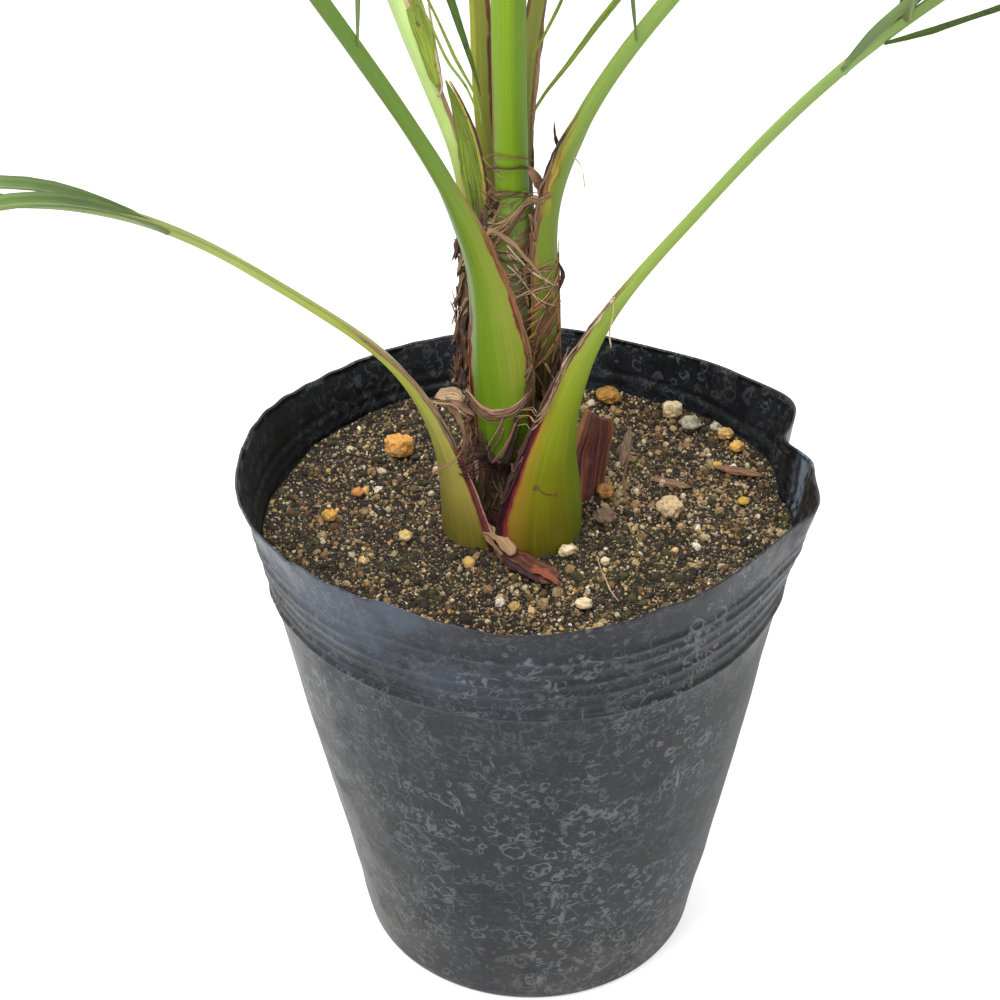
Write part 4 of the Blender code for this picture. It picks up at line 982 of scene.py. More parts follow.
stalkTones = dict(
    lowLeft=dict(
        face=((0, (0.17, 0.14, 0.025)), (15, (0.26, 0.22, 0.035)), (32, (0.44, 0.37, 0.08)),
              (60, (0.50, 0.48, 0.10)), (100, (0.50, 0.56, 0.09)), (180, (0.42, 0.50, 0.13)),
              (240, (0.24, 0.32, 0.09)), (300, (0.20, 0.29, 0.07))),
        edges=(dict(side=0, start=-5, end=60, width=0.10, ragged=0.3, colour=(0.20, 0.05, 0.05)),
               dict(side=0, start=-5, end=56, width=0.045, ragged=0.3, colour=(0.42, 0.06, 0.07)),
               dict(side=0, start=56, end=125, width=0.12, ragged=0.4, colour=(0.46, 0.31, 0.18)),
               dict(side=1, start=100, end=190, width=0.05, colour=(0.36, 0.19, 0.10)))),
    lowRight=dict(
        face=((0, (0.12, 0.10, 0.006)), (25, (0.18, 0.165, 0.008)), (50, (0.24, 0.28, 0.012)),
              (80, (0.29, 0.37, 0.025)), (130, (0.30, 0.42, 0.08)), (240, (0.24, 0.36, 0.10)),
              (400, (0.16, 0.26, 0.06))),
        turned=(0, (0.12, 0.22, 0.010), 0.62, 0, 110),
        stripAndHighlight=(1, (0.40, 0.20, 0.03), 0.5, -5, 60),
        edges=(dict(side=1, start=-5, end=80, width=0.115, ragged=0.3, colour=(0.36, 0.045, 0.05)),
               dict(side=1, start=-5, end=92, width=0.08, ragged=0.3, colour=(0.055, 0.014, 0.022)),
               dict(side=1, start=70, end=130, width=0.10, colour=(0.30, 0.15, 0.07)),
               dict(side=0, start=-5, end=60, width=0.05, colour=(0.09, 0.03, 0.015)))),
    frontLeft=dict(
        face=((0, (0.11, 0.20, 0.008)), (25, (0.13, 0.235, 0.008)), (80, (0.15, 0.25, 0.012)),
              (130, (0.15, 0.26, 0.03)), (200, (0.13, 0.23, 0.035)), (300, (0.16, 0.26, 0.06))),
        # frontLeft's pale strip is a painted highlight along its left edge
        turned=(0, (0.36, 0.34, 0.06), 0.45, 40, 90), stripAndHighlight=(1, (0.45, 0.52, 0.36), 0.35, 40, 110),
        edges=(dict(side=0, start=-5, end=100, width=0.12, colour=(0.27, 0.06, 0.03)),
               dict(side=0, start=30, end=120, width=0.06, colour=(0.42, 0.22, 0.10)),
               dict(side=1, start=-5, end=70, width=0.12, colour=(0.24, 0.06, 0.025)),
               dict(side=1, start=60, end=120, width=0.05, colour=(0.30, 0.34, 0.12)))),
    centre=dict(
        face=((0, (0.10, 0.14, 0.012)), (20, (0.18, 0.31, 0.006)), (110, (0.21, 0.37, 0.008)),
              (300, (0.18, 0.31, 0.035))),
        turned=(0, (0.10, 0.19, 0.01), 0.7, -20, 260),
        edges=(dict(side=1, start=0, end=60, width=0.08, colour=(0.3, 0.2, 0.08)),)),
    right=dict(
        face=((0, (0.035, 0.018, 0.01)), (13, (0.06, 0.035, 0.012)), (21, (0.12, 0.17, 0.012)),
              (50, (0.14, 0.195, 0.016)), (90, (0.17, 0.26, 0.03)), (150, (0.24, 0.36, 0.08)),
              (300, (0.26, 0.36, 0.10))),
        edges=(dict(side=1, start=78, end=104, width=0.30, colour=(0.44, 0.33, 0.05)),
               dict(side=1, start=30, end=106, width=0.12, colour=(0.32, 0.16, 0.06)),
               dict(side=1, start=70, end=112, width=0.05, colour=(0.06, 0.014, 0.012)),
               dict(side=0, start=-5, end=50, width=0.1, colour=(0.26, 0.1, 0.05)))),
    left=dict(
        face=((0, (0.06, 0.035, 0.02)), (50, (0.10, 0.06, 0.03)), (72, (0.30, 0.32, 0.05)),
              (95, (0.42, 0.58, 0.17)), (160, (0.46, 0.62, 0.24)), (300, (0.36, 0.48, 0.12))),
        edges=(dict(side=0, start=20, end=150, width=0.07, colour=(0.60, 0.40, 0.27)),
               dict(side=1, start=0, end=90, width=0.04, colour=(0.3, 0.13, 0.07)))),
    backLeft=dict(
        face=((0, (0.16, 0.17, 0.02)), (60, (0.22, 0.25, 0.02)), (200, (0.20, 0.27, 0.03)),
              (350, (0.18, 0.27, 0.06))),
        turned=(0, (0.46, 0.46, 0.03), 0.9, -20, 55),
        edges=(dict(side=1, start=10, end=240, width=0.30, colour=(0.16, 0.05, 0.022)),)),
    backRight=dict(
        face=((0, (0.06, 0.04, 0.015)), (60, (0.06, 0.06, 0.015)), (120, (0.08, 0.10, 0.02)),
              (300, (0.17, 0.24, 0.06))),
        edges=(dict(side=0, start=-5, end=100, width=0.3, colour=(0.15, 0.06, 0.035)),)))
toneLength = 400.0


def stalkFinish(name):
    tones = stalkTones[name]
    look = Finish(name + "Green", Specular_IOR_Level=0.22)
    u, v = look.skin()
    across = look.math("PINGPONG", u, 1.0)
    inside = look.math("GREATER_THAN", u, 1.0)
    lane = look.plus(u, look.times(inside, 7.0))
    colour = look.ramp(look.times(v, 1000 / toneLength),
                       tuple((place / toneLength, tone) for place, tone in tones["face"]))
    if "turned" in tones:                      # one side is washed with another colour over a span along the stalk
        away = fromEdge(look, across, tones["turned"][0])
        colour = sideWash(look, colour, tones["turned"], v, look.between(away, 0.62, 0.2), 0)
    # veins run the whole length, so the pattern is stretched along it
    veins = look.strands(look.times(lane, 26.0), look.times(v, 14.0), 4.0, 0.6)
    fine = look.strands(look.times(lane, 90.0), look.times(v, 26.0), 2.0, 0.5)
    shade = look.plus(look.between(veins, 0.25, 0.75, 0.88, 1.10, smooth=False),
                      look.between(fine, 0.2, 0.8, -0.12, 0.10, smooth=False))
    colour = look.shaded(colour, shade)
    pale = look.between(veins, 0.56, 0.72)
    colour = look.mix(look.times(pale, 0.10), colour, (0.45, 0.52, 0.10))
    blotch = look.between(look.noise(look.place(), 85, 3.0), 0.55, 0.75)
    colour = look.mix(look.times(blotch, 0.2), colour, (0.3, 0.27, 0.05))
    colour = look.mix(look.times(inside, 0.6), colour, (0.22, 0.24, 0.05))
    if "stripAndHighlight" in tones:                       # a strip just inside an edge: a painted highlight where the lamp at the left catches frontLeft, and an orange band on lowRight
        away = fromEdge(look, across, tones["stripAndHighlight"][0])
        weight = look.times(look.between(away, 0.04, 0.10), look.between(away, 0.26, 0.14))
        colour = sideWash(look, colour, tones["stripAndHighlight"], v, weight, 10)
    colour = edgeBands(look, colour, tones["edges"], across, v)
    # small brown flecks and scars
    fleck = look.between(look.cells(look.place(), 420), 0.07, 0.13, 1.0, 0.0)
    fleck = look.times(fleck, look.between(look.noise(look.place(), 60, 2.0), 0.6, 0.72))
    colour = look.mix(look.times(fleck, 0.7), colour, (0.10, 0.05, 0.015))
    relief = look.plus(veins, look.times(fine, 0.4))
    roughness = look.between(veins, 0.2, 0.8, 0.36, 0.52, smooth=False)
    return look.finish(colour, roughness, look.bump(relief, 0.00045, 0.55))


def fromEdge(look, across, side):
    return across if side == 0 else look.minus(1.0, across)


def sideWash(look, colour, wash, v, weight, soft):
    # a wash is a side, a colour and its strength, and where it starts and ends in millimetres
    _, tone, share, start, end = wash
    weight = look.times(weight, look.between(v, (end + 50) / 1000, (end - 10) / 1000))
    weight = look.times(weight, look.between(v, (start - 20) / 1000, (start + soft) / 1000))
    return look.mix(look.times(weight, share), colour, tone)


def edgeBands(look, colour, edges, across, v):
    for number, edge in enumerate(edges):
        away = fromEdge(look, across, edge["side"])
        tear = look.strands(look.times(v, 90.0), look.times(away, 3.0), 3.0, 0.6, lane=number * 3.1)
        ragged = edge.get("ragged", 1.0)
        limit = look.between(tear, 0.25, 0.75, 1 - 0.55 * ragged, 1 + 0.5 * ragged, smooth=False)
        away = look.math("DIVIDE", away, look.times(limit, edge["width"]))
        band = look.between(away, 1.0, 0.72)
        along = look.times(look.between(v, (edge["start"] - 6) / 1000, (edge["start"] + 6) / 1000),
                           look.between(v, (edge["end"] + 14) / 1000, (edge["end"] - 14) / 1000))
        streak = look.strands(look.times(away, 4.0), look.times(v, 60.0), lane=number)
        dark = tuple(0.4 * part for part in edge["colour"])
        tone = look.mix(look.between(streak, 0.35, 0.65), dark, edge["colour"])
        colour = look.mix(look.times(band, along), colour, tone)
    return colour


# leaflets: folded blades in two ranks along the rachis

# open is how far a leaflet stands from the rachis at the blade's foot and tip, lift how far it rises
leaf = dict(stations=15, thickness=0.34, fold=0.28, droop=0.08, seed=5, tries=9, room=1.2,
            open=(58, 28), lift=(30, 12))


def leafletNodes(spec, line):
    count = spec["pairs"]
    last = line.total - 22
    return [spec["blade"] + (last - spec["blade"]) * (i / (count - 1)) ** 0.92 for i in range(count)]


def leafletAxes(spec, line, length, hand, dice):
    _, heading, normal, side = line.at(length)
    share = max(0.0, (length - spec["blade"]) / (line.total - spec["blade"]))
    first, last = spec.get("open", leaf["open"])
    middle, wave = spec.get("lift", leaf["lift"])
    stray = min(1.0, 0.1 + 2 * share) if "late" in spec else 1.0
    swing = math.radians(first + (last - first) * share ** spec.get("late", 1) + stray
                         * dice.uniform(-4, 4))
    lift = math.radians(middle + wave * math.sin(7.0 * share + hand) + stray * dice.uniform(-6, 6))
    return turnedAxes(heading, normal, side, hand, swing, lift)


def turnedAxes(heading, normal, side, hand, swing, lift):
    out = hand * math.cos(lift) * side + math.sin(lift) * normal
    ahead = math.cos(swing) * heading + math.sin(swing) * out
    wide = unit(heading - ahead * heading.dot(ahead))
    keel = np.cross(ahead, wide)
    if keel.dot(normal) < 0:
        keel = -keel
    return ahead, wide, keel


def leafletRings(root, axes, reach, width, droop, twist, broad=0.0):
    ahead, wide, keel = axes
    fold = leaf["fold"]
    rings = []
    for t in (np.arange(leaf["stations"]) / (leaf["stations"] - 1)) ** 1.15:
        full = width * min(1.0, 0.28 + 0.4 * broad + 2.6 * t) * max(0.03, 1 - t ** 2.4) ** 0.8
        turn = twist * t
        across = wide * math.cos(turn) + keel * math.sin(turn)
        up = keel * math.cos(turn) - wide * math.sin(turn)
        centre = root + ahead * reach * t + keel * (0.12 * reach * t * (1 - t))
        centre = centre - np.array((0, 0, droop * reach * t * t))
        close = 1 + 1.2 * (1 - broad) * max(0.0, 1 - t / 0.12)  # nearly shut where it joins the rachis
        ring = []
        under = leaf["thickness"] * (1.6 - t)
        for lanes, thick in (((-1, -0.55, 0, 0.55, 1), 0.0), ((0.97, 0.5, 0, -0.5, -0.97), under)):
            for s in lanes:
                rise = fold * full * (abs(s) * close - 0.5) - thick
                ring.append(centre + across * (0.5 * full * s / close) + up * rise)
        rings.append(ring)
    return np.array(rings)


leafletAcross = np.array((0, 0.225, 0.5, 0.775, 1.0, 1.02, 1.25, 1.5, 1.75, 1.98, 2.0))


def coarseTree(rings, room=0.0):
    # a light stand-in of a leaflet, for keeping leaflets apart
    picked = rings[[0, 4, 8, -1]][:, (0, 2, 4, 7)]
    centres = picked.mean(axis=1, keepdims=True)
    picked = centres + (picked - centres) * (1
                                             + room / np.maximum(1.5, np.linalg.norm(picked - centres,
                                                                                     axis=2,
                                                                                     keepdims=True)))
    points = [Vector(point) for point in picked.reshape(-1, 3)]
    faces = [(4 * k + i, 4 * k + (i + 1) % 4, 4 * k + 4 + (i + 1) % 4, 4 * k + 4 + i) for k in range(3)
             for i in range(4)]
    return BVHTree.FromPolygons(points, faces)


def stalkTree(line):
    lengths = np.arange(0, line.total, 9.0)
    rings = np.array([[line.point(length, across) for across in (-1, -0.5, 0, 0.5, 1)]
                      + [line.point(length, across, inner=True)
                         for across in (0.5, 0, -0.5)] for length in lengths])
    points = [Vector(point) for point in rings.reshape(-1, 3)]
    faces = [(8 * k + i, 8 * k + (i + 1) % 8, 8 * k + 8 + (i + 1) % 8, 8 * k + 8 + i)
             for k in range(len(lengths) - 1) for i in range(8)]
    return BVHTree.FromPolygons(points, faces)


def makeLeaflets(lines, trees):
    dice = random.Random(leaf["seed"])
    grown = []
    finish = leafletFinish()
    for name, spec in fronds.items():
        line = lines[name]
        others = [tree for other, tree in trees.items() if other != name]
        bundle = Bundle()
        for extra in spec.get("placed", ()):
            hand = extra["hand"]
            axes = turnedAxes(*line.at(extra["at"])[1:], hand, math.radians(extra["swing"]),
                              math.radians(extra["lift"]))
            rings = leafletRings(line.point(extra["at"], 0.7 * hand), axes, extra["reach"], extra["width"],
                                 extra.get("droop", 0.03), 0.2, extra["broad"])
            grown.append(coarseTree(rings))
            bundle.addRings(rings + palm, leafletAcross, np.linspace(0, 1, len(rings)))
        nodes = leafletNodes(spec, line)
        for index, length in enumerate(nodes):
            share = index / (len(nodes) - 1)
            for hand in (-1, 1):
                reach, width = spec["leaflet"]
                axes = leafletAxes(spec, line, length + hand * 2.5, hand, dice)
                if index < spec["spines"]:
                    reach, width = 22 + 11 * index, 2.6
                else:
                    swell = min(1.0, 0.55 + 1.5 * share) * (1 - 0.5 * max(0.0, share - 0.55) / 0.45)
                    reach *= swell * dice.uniform(0.94, 1.04)
                    width *= min(1.0, 0.6 + share)
                root = line.point(length + hand * 2.5, 0.9 * hand)
                twist = dice.uniform(-0.35, 0.35)
                droop = leaf["droop"] + spec.get("sag", 0.0) * max(0.0, 1 - 2.5 * share)
                for _ in range(leaf["tries"]):
                    rings = leafletRings(root, axes, reach, width, droop, twist)
                    tree = coarseTree(rings, leaf["room"])
                    if not any(tree.overlap(other) for other in others + grown):
                        break
                    reach *= 0.82
                    width *= 0.95
                else:
                    continue
                grown.append(coarseTree(rings))
                bundle.addRings(rings + palm, leafletAcross, np.linspace(0, 1, len(rings)))
        bundle.piece(name + "Leaflets", finish, "leaf_green", [spec["node"]])
    print("leaflets: %d" % len(grown))


def leafletFinish():
    look = Finish("leafletGreen", Specular_IOR_Level=0.45)
    u, v = look.skin()
    across = look.math("PINGPONG", u, 1.0)
    under = look.math("GREATER_THAN", u, 1.01)
    ribs = look.strands(look.times(across, 30.0), look.times(v, 2.0), 3.0, 0.5)
    patch = look.noise(look.place(), 24, 3.0)
    colour = look.ramp(patch, ((0.3, (0.05, 0.095, 0.016)), (0.5, (0.085, 0.15, 0.026)),
                               (0.7, (0.15, 0.23, 0.045))))
    colour = look.mix(look.times(look.between(v, 0.12, 0.0), 0.8), colour, (0.27, 0.33, 0.09))
    midrib = look.between(look.apart(across, 0.5), 0.05, 0.015)
    colour = look.mix(look.times(midrib, 0.55), colour, (0.3, 0.38, 0.12))
    shade = look.between(ribs, 0.3, 0.7, 0.82, 1.16, smooth=False)
    colour = look.shaded(colour, shade)
    colour = look.mix(look.times(under, 0.35), colour, (0.17, 0.23, 0.10))
    colour = look.mix(look.between(v, 0.965, 0.995), colour, (0.24, 0.15, 0.07))
    roughness = look.between(ribs, 0.2, 0.8, 0.32, 0.5, smooth=False)
    return look.finish(colour, roughness, look.bump(ribs, 0.0003, 0.5))


# the stem, the unopened leaf and the two dry scales

stem = dict(around=72, step=1.6, shag=0.9)
spear = dict(profile=((119.6, 3.2), (160, 3.6), (230, 3.6), (330, 3.4), (430, 3.0), (530, 2.2), (600, 1.2),
                      (625, 0.3)),
             lean=6.0, around=24, flat=0.7)
scaleRight = dict(node="old_scale_right", seat=14, facing=-40, height=-4, standOff=11,
                  route=((31, 12, 16), (33.5, 14, 36)),
                  width=((0, 19), (10, 25), (22, 29), (32, 27), (42, 20)),
                  depth=((0, 1.8), (40, 1.2)), wrap=((0, 0.8), (40, 0.5)))


def makeStem():
    heights = np.arange(-stemFoot, 119.0, stem["step"])
    knots, radii = zip(*stemProfile)
    turn = 2 * np.pi * np.arange(stem["around"]) / stem["around"]
    rings = []
    for height in heights:
        radius = np.interp(height, knots, radii)
        lie = np.stack((np.cos(turn) * 9, np.sin(turn) * 9, np.full(len(turn), height / 5)), -1)
        shag = softNoise(lie, 1.1, 71) + 0.5 * softNoise(lie, 0.5, 72)
        rings.append(aroundAxis(radius - 0.4 + stem["shag"] * shag * 0.5, turn, height))
    skinPiece("stemCore", np.array(rings) + palm, np.linspace(0, 1, stem["around"] + 1), heights / 1000,
              stemFinish(), "stem_fibre", "stem")


def makeSpear():
    heights = np.concatenate((np.arange(119.6, 620, 6.0), (624.0,)))
    knots, radii = zip(*spear["profile"])
    turn = 2 * np.pi * np.arange(spear["around"]) / spear["around"]
    rings = []
    for height in heights:
        radius = np.interp(height, knots,
                           radii) * (1 + 0.07 * np.cos(6 * turn) - 0.25 * hump(np.degrees(turn), 270, 16))
        lean = spear["lean"] * ((height - heights[0]) / 500) ** 2
        rings.append(aroundAxis(radius, turn, height, spear["flat"]) + (lean, 0, 0))
    skinPiece("spearLeaf", np.array(rings) + palm, np.linspace(0, 2, spear["around"] + 1), heights / 1000,
              spearFinish(), "young_leaf", "spear_leaf")


def spearFinish():
    look = Finish("spearGreen", Specular_IOR_Level=0.4)
    u, v = look.skin()
    folds = look.strands(look.times(u, 22.0), look.times(v, 8.0), 4.0, 0.6)
    colour = look.ramp(folds, ((0.3, (0.12, 0.19, 0.035)), (0.5, (0.22, 0.32, 0.07)),
                               (0.7, (0.36, 0.44, 0.16))))
    colour = look.mix(look.between(v, 0.57, 0.62), colour, (0.3, 0.22, 0.09))
    return look.finish(colour, look.between(folds, 0.2, 0.8, 0.35, 0.55, smooth=False),
                       look.bump(folds, 0.0004, 0.5))


def stemFinish():
    look = Finish("stemFibre", Roughness=0.8)
    u, v = look.skin()
    fibre = look.strands(look.times(u, 60.0), look.times(v, 60.0), 5.0, 0.65, 0.3)
    dark = (0.026, 0.013, 0.0056)
    colour = look.ramp(fibre, ((0.3, dark), (0.5, (0.13, 0.065, 0.028)), (0.7, (0.312, 0.156, 0.0672))))
    blotch = look.noise(look.place(), 120, 3.0)
    colour = look.mix(look.between(blotch, 0.5, 0.75), colour, dark)
    low = look.between(v, 0.038, 0.02)
    moss = look.between(look.noise(look.place(), 210, 4.0, 0.7), 0.46, 0.56)
    colour = look.mix(look.times(look.times(low, moss), 0.85), colour, (0.07, 0.13, 0.025))
    return look.finish(colour, None, look.bump(fibre, 0.0007, 0.9))


def makeScales():
    line = StalkLine(scaleRight)
    lengths = np.linspace(0, line.total, 34)
    rings = []
    for length in lengths:
        share = length / line.total
        ring = skinRing(line, length, 91)
        outward = -line.at(length)[2]
        ring = ring + np.outer(0.9 * softNoise(ring, 7, 92) * share, outward)
        rings.append(ring)
    around = np.r_[np.linspace(-1, 1, skin["outer"]), np.linspace(1, -1, skin["inner"] + 2)[1:-1]]
    tear = 1.6 * softNoise(rings[-1], 2.2, 93) - 0.6
    for k, length in enumerate(lengths):
        share = max(0.0, (length / line.total - 0.45) / 0.55)
        rings[k] = rings[k] + np.outer(share * (share * tear + 6.0 * around - 1.5), line.at(length)[1])
    skinPiece("oldScaleRight", np.array(rings) + palm, skinAcross(), lengths / 1000,
              scaleFinish("oldScaleMaroon", 0.2, 1.0), "dry_scale", "old_scale_right")
    centre, _ = middleOf("old_scale_front")
    rings = chipRings(centre - (2, -2, 0), 31, 10.5, 3.0, -46, 97, bend=1.6, steps=40, corners=22,
                      taper=0.22)
    skinPiece("oldScaleFront", rings, np.linspace(0, 2, 23), np.linspace(0, 0.05, len(rings)),
              scaleFinish("oldScaleBrown", 0.1, 0.1), "dry_scale", "old_scale_front")


def scaleFinish(name, tan, rim):
    look = Finish(name, Roughness=0.6)
    u, v = look.skin()
    across = look.math("PINGPONG", u, 1.0)
    bend = look.times(look.math("SINE", look.times(v, 60.0)), 0.03)
    lane = look.times(look.plus(across, bend), 24.0)
    stripes = look.strands(lane, look.times(v, 22.0), 3.0, 0.6)
    colour = look.ramp(stripes, ((0.32, (0.010, 0.003, 0.004)), (0.46, (0.06, 0.013, 0.011)),
                                 (0.58, (0.15, 0.038, 0.022)), (0.72, (0.34, 0.13, 0.055))))
    edge = look.most(look.between(across, 0.80, 0.97), look.between(across, 0.20, 0.03))
    edge = look.times(edge, look.between(stripes, 0.35, 0.6, 0.35 * rim, 0.9 * rim))
    colour = look.mix(edge, colour, (0.36, 0.16, 0.055))
    patch = look.between(look.noise(look.place(), 90, 3.0), 0.5, 0.7)
    colour = look.mix(look.times(patch, tan), colour, (0.42, 0.28, 0.17))
    return look.finish(colour, None, look.bump(stripes, 0.0006, 0.8))


# dry dressing: torn edges, ribbons and threads of old leaf sheath

sheath = dict(seat=272, height=34, standOff=0.1,
              route=((-1, -13.9, 80), (-1.4, -13.2, 119), (-1.6, -14.6, 138)),
              width=((0, 26), (60, 25), (90, 17), (110, 12)), depth=((0, 1.6), (60, 2.0), (110, 1.0)),
              wrap=((0, 1), (110, 1)))


def ribbonRings(route, width, thick, roll=0.0, twist=0.0, curl=0.0, fray=0.15, seed=0, step=1.6, lanes=7,
                least=3):
    # a strip along the route, with width as a table over 0 to 1, and roll and twist in degrees
    samples, lengths = smoothRoute(route, step, least)
    share = lengths / lengths[-1]
    heading = unit(np.gradient(samples, lengths, axis=0))
    outward = samples * (1, 1, 0)
    outward = unit(outward - heading * (outward * heading).sum(axis=1, keepdims=True) + 1e-6)
    side = np.cross(heading, outward)
    angle = np.radians(roll + twist * share)[:, None]
    across = side * np.cos(angle) + outward * np.sin(angle)
    up = outward * np.cos(angle) - side * np.sin(angle)
    full = readTable(width, share)
    lie = np.stack((lengths / 2.2, np.zeros(len(share)), np.zeros(len(share))), -1)
    tears = 1 + fray * np.stack((softNoise(lie, 1.0, seed), softNoise(lie, 1.0, seed + 1)), -1)
    rings = []
    for k in range(len(samples)):
        marks = np.linspace(-1, 1, lanes)
        reach = np.where(marks < 0, tears[k, 0], tears[k, 1]) * marks * 0.5 * full[k]
        rise = curl * full[k] * (marks ** 2 - 0.5)
        top = samples[k] + np.outer(reach, across[k]) + np.outer(rise + thick / 2, up[k])
        under = samples[k] + np.outer(reach, across[k]) + np.outer(rise - thick / 2, up[k])
        rings.append(np.concatenate((top, under[::-1])))
    return np.array(rings), lengths


def addRibbon(bundle, number, route, width, thick=0.22, scale=1.0, **shape):
    lanes = shape.get("lanes", 7)
    width = tuple((place, scale * size) for place, size in width)
    rings, lengths = ribbonRings(route, width, thick, seed=200 + number, **shape)
    across = np.concatenate((np.linspace(0, 0.9, lanes), np.linspace(1.0, 1.9, lanes), (2.0,)))
    bundle.addRings(rings + palm, across + 2 * number, lengths / 1000)


def addThread(bundle, number, route, size=0.7):
    addRibbon(bundle, number, route, ((0, 0.5 * size), (0.15, size), (0.8, 0.8 * size), (1, 0.15 * size)),
              0.4 * size, lanes=2, least=1, twist=140 * math.sin(number), fray=0.3)


def skinTree(names):
    # the dressed surface of some pieces, in millimetres from the palm's foot
    points = []
    faces = []
    for name in names:
        mesh = bpy.data.objects[name].data
        count = len(points)
        points += [Vector(vert.co / mm) - Vector(palm) for vert in mesh.vertices]
        faces += [[count + corner for corner in face.vertices] for face in mesh.polygons]
    return BVHTree.FromPolygons(points, faces)


def draped(tree, route, lift=0.4):
    # lays a route, given as turn round the palm and height, on the surface under it
    flat, _ = smoothRoute([(0.3 * turn, height, 0) for turn, height in route], 1.2)
    reach = []
    for turn, height, _ in flat:
        angle = math.radians(turn / 0.3)
        ray = Vector((math.cos(angle), math.sin(angle), 0))
        hit = tree.ray_cast(ray * 90 + Vector((0, 0, height)), -ray)
        reach.append(hit[0].xy.length if hit[0] else np.nan)
    reach = np.array(reach)
    seen = np.flatnonzero(~np.isnan(reach))
    reach = np.interp(np.arange(len(reach)), seen, reach[seen]) if len(seen) else np.full(len(reach), 14.0)
    span = np.convolve(np.pad(reach, 3, mode="edge"), np.ones(7) / 7, mode="valid")
    reach = np.maximum(reach, span) + lift
    turns = np.radians(flat[:, 0] / 0.3)
    points = np.stack((reach * np.cos(turns), reach * np.sin(turns), flat[:, 1]), -1)
    return points[:: max(1, len(points) // 24)] if len(points) > 30 else points


def fibreTone(name, tones, rough=0.75):
    # every strand takes one of the tones, streaked along its length
    look = Finish(name, Roughness=rough)
    u, v = look.skin()
    number = look.math("FLOOR", look.times(u, 0.5))
    chance = look.node("ShaderNodeTexWhiteNoise", {"W": number}, noise_dimensions="1D").outputs["Value"]
    colour = look.ramp(chance, tuple((k / max(1, len(tones) - 1), tone) for k, tone in enumerate(tones)))
    lane = look.join(look.times(u, 14.0), look.times(v, 60.0))
    streak = look.noise(lane, 1.0, 5.0, 0.7)
    shade = look.between(streak, 0.32, 0.66, 0.3, 1.6, smooth=False)
    colour = look.shaded(colour, shade)
    spot = look.between(look.noise(look.place(), 260, 3.0), 0.6, 0.72)
    colour = look.mix(look.times(spot, 0.7), colour, (0.05, 0.022, 0.014))
    return look.finish(colour, None, look.bump(streak, 0.0005, 0.8))


# dry strips along an edge: which stalk and side, from and to along it, width, lean away from the skin
edgeStrips = (
    dict(on="frontLeft", side=-1, start=14, end=104, width=1.5, roll=-40, tone="tan"),
    dict(on="frontLeft", side=-1, start=40, end=96, width=1.0, roll=20, tone="red"),
    dict(on="frontLeft", side=1, start=12, end=60, width=1.4, roll=30, tone="red"),
    dict(on="lowRight", side=1, start=66, end=124, width=1.8, roll=-35, tone="tan"),
    dict(on="lowRight", side=1, start=30, end=104, width=1.6, roll=25, tone="dark"),
    dict(on="lowRight", side=1, start=84, end=126, width=1.3, roll=60, tone="pale"),
    dict(on="lowLeft", side=-1, start=40, end=74, width=1.1, roll=30, tone="dark"),
    dict(on="lowLeft", side=-1, start=70, end=122, width=1.5, roll=-30, tone="tan"),
    dict(on="lowLeft", side=1, start=70, end=112, width=1.2, roll=-30, tone="pale"),
    dict(on="lowLeft", side=-1, start=8, end=46, width=1.0, roll=10, tone="pale"),
    dict(on="right", side=1, start=40, end=104, width=1.1, roll=-20, tone="tan"),
    dict(on="right", side=1, start=62, end=112, width=1.1, roll=30, tone="dark"),
    dict(on="right", side=-1, start=18, end=62, width=1.4, roll=20, tone="red"),
    dict(on="left", side=-1, start=58, end=112, width=1.4, roll=20, tone="tan"),
    dict(on="left", side=1, start=40, end=118, width=1.3, roll=0, tone="pale"),
    dict(on="backRight", side=1, start=12, end=74, width=2.0, roll=0, tone="brown"),
    dict(on="backLeft", side=1, start=6, end=90, width=1.2, roll=0, tone="red"))

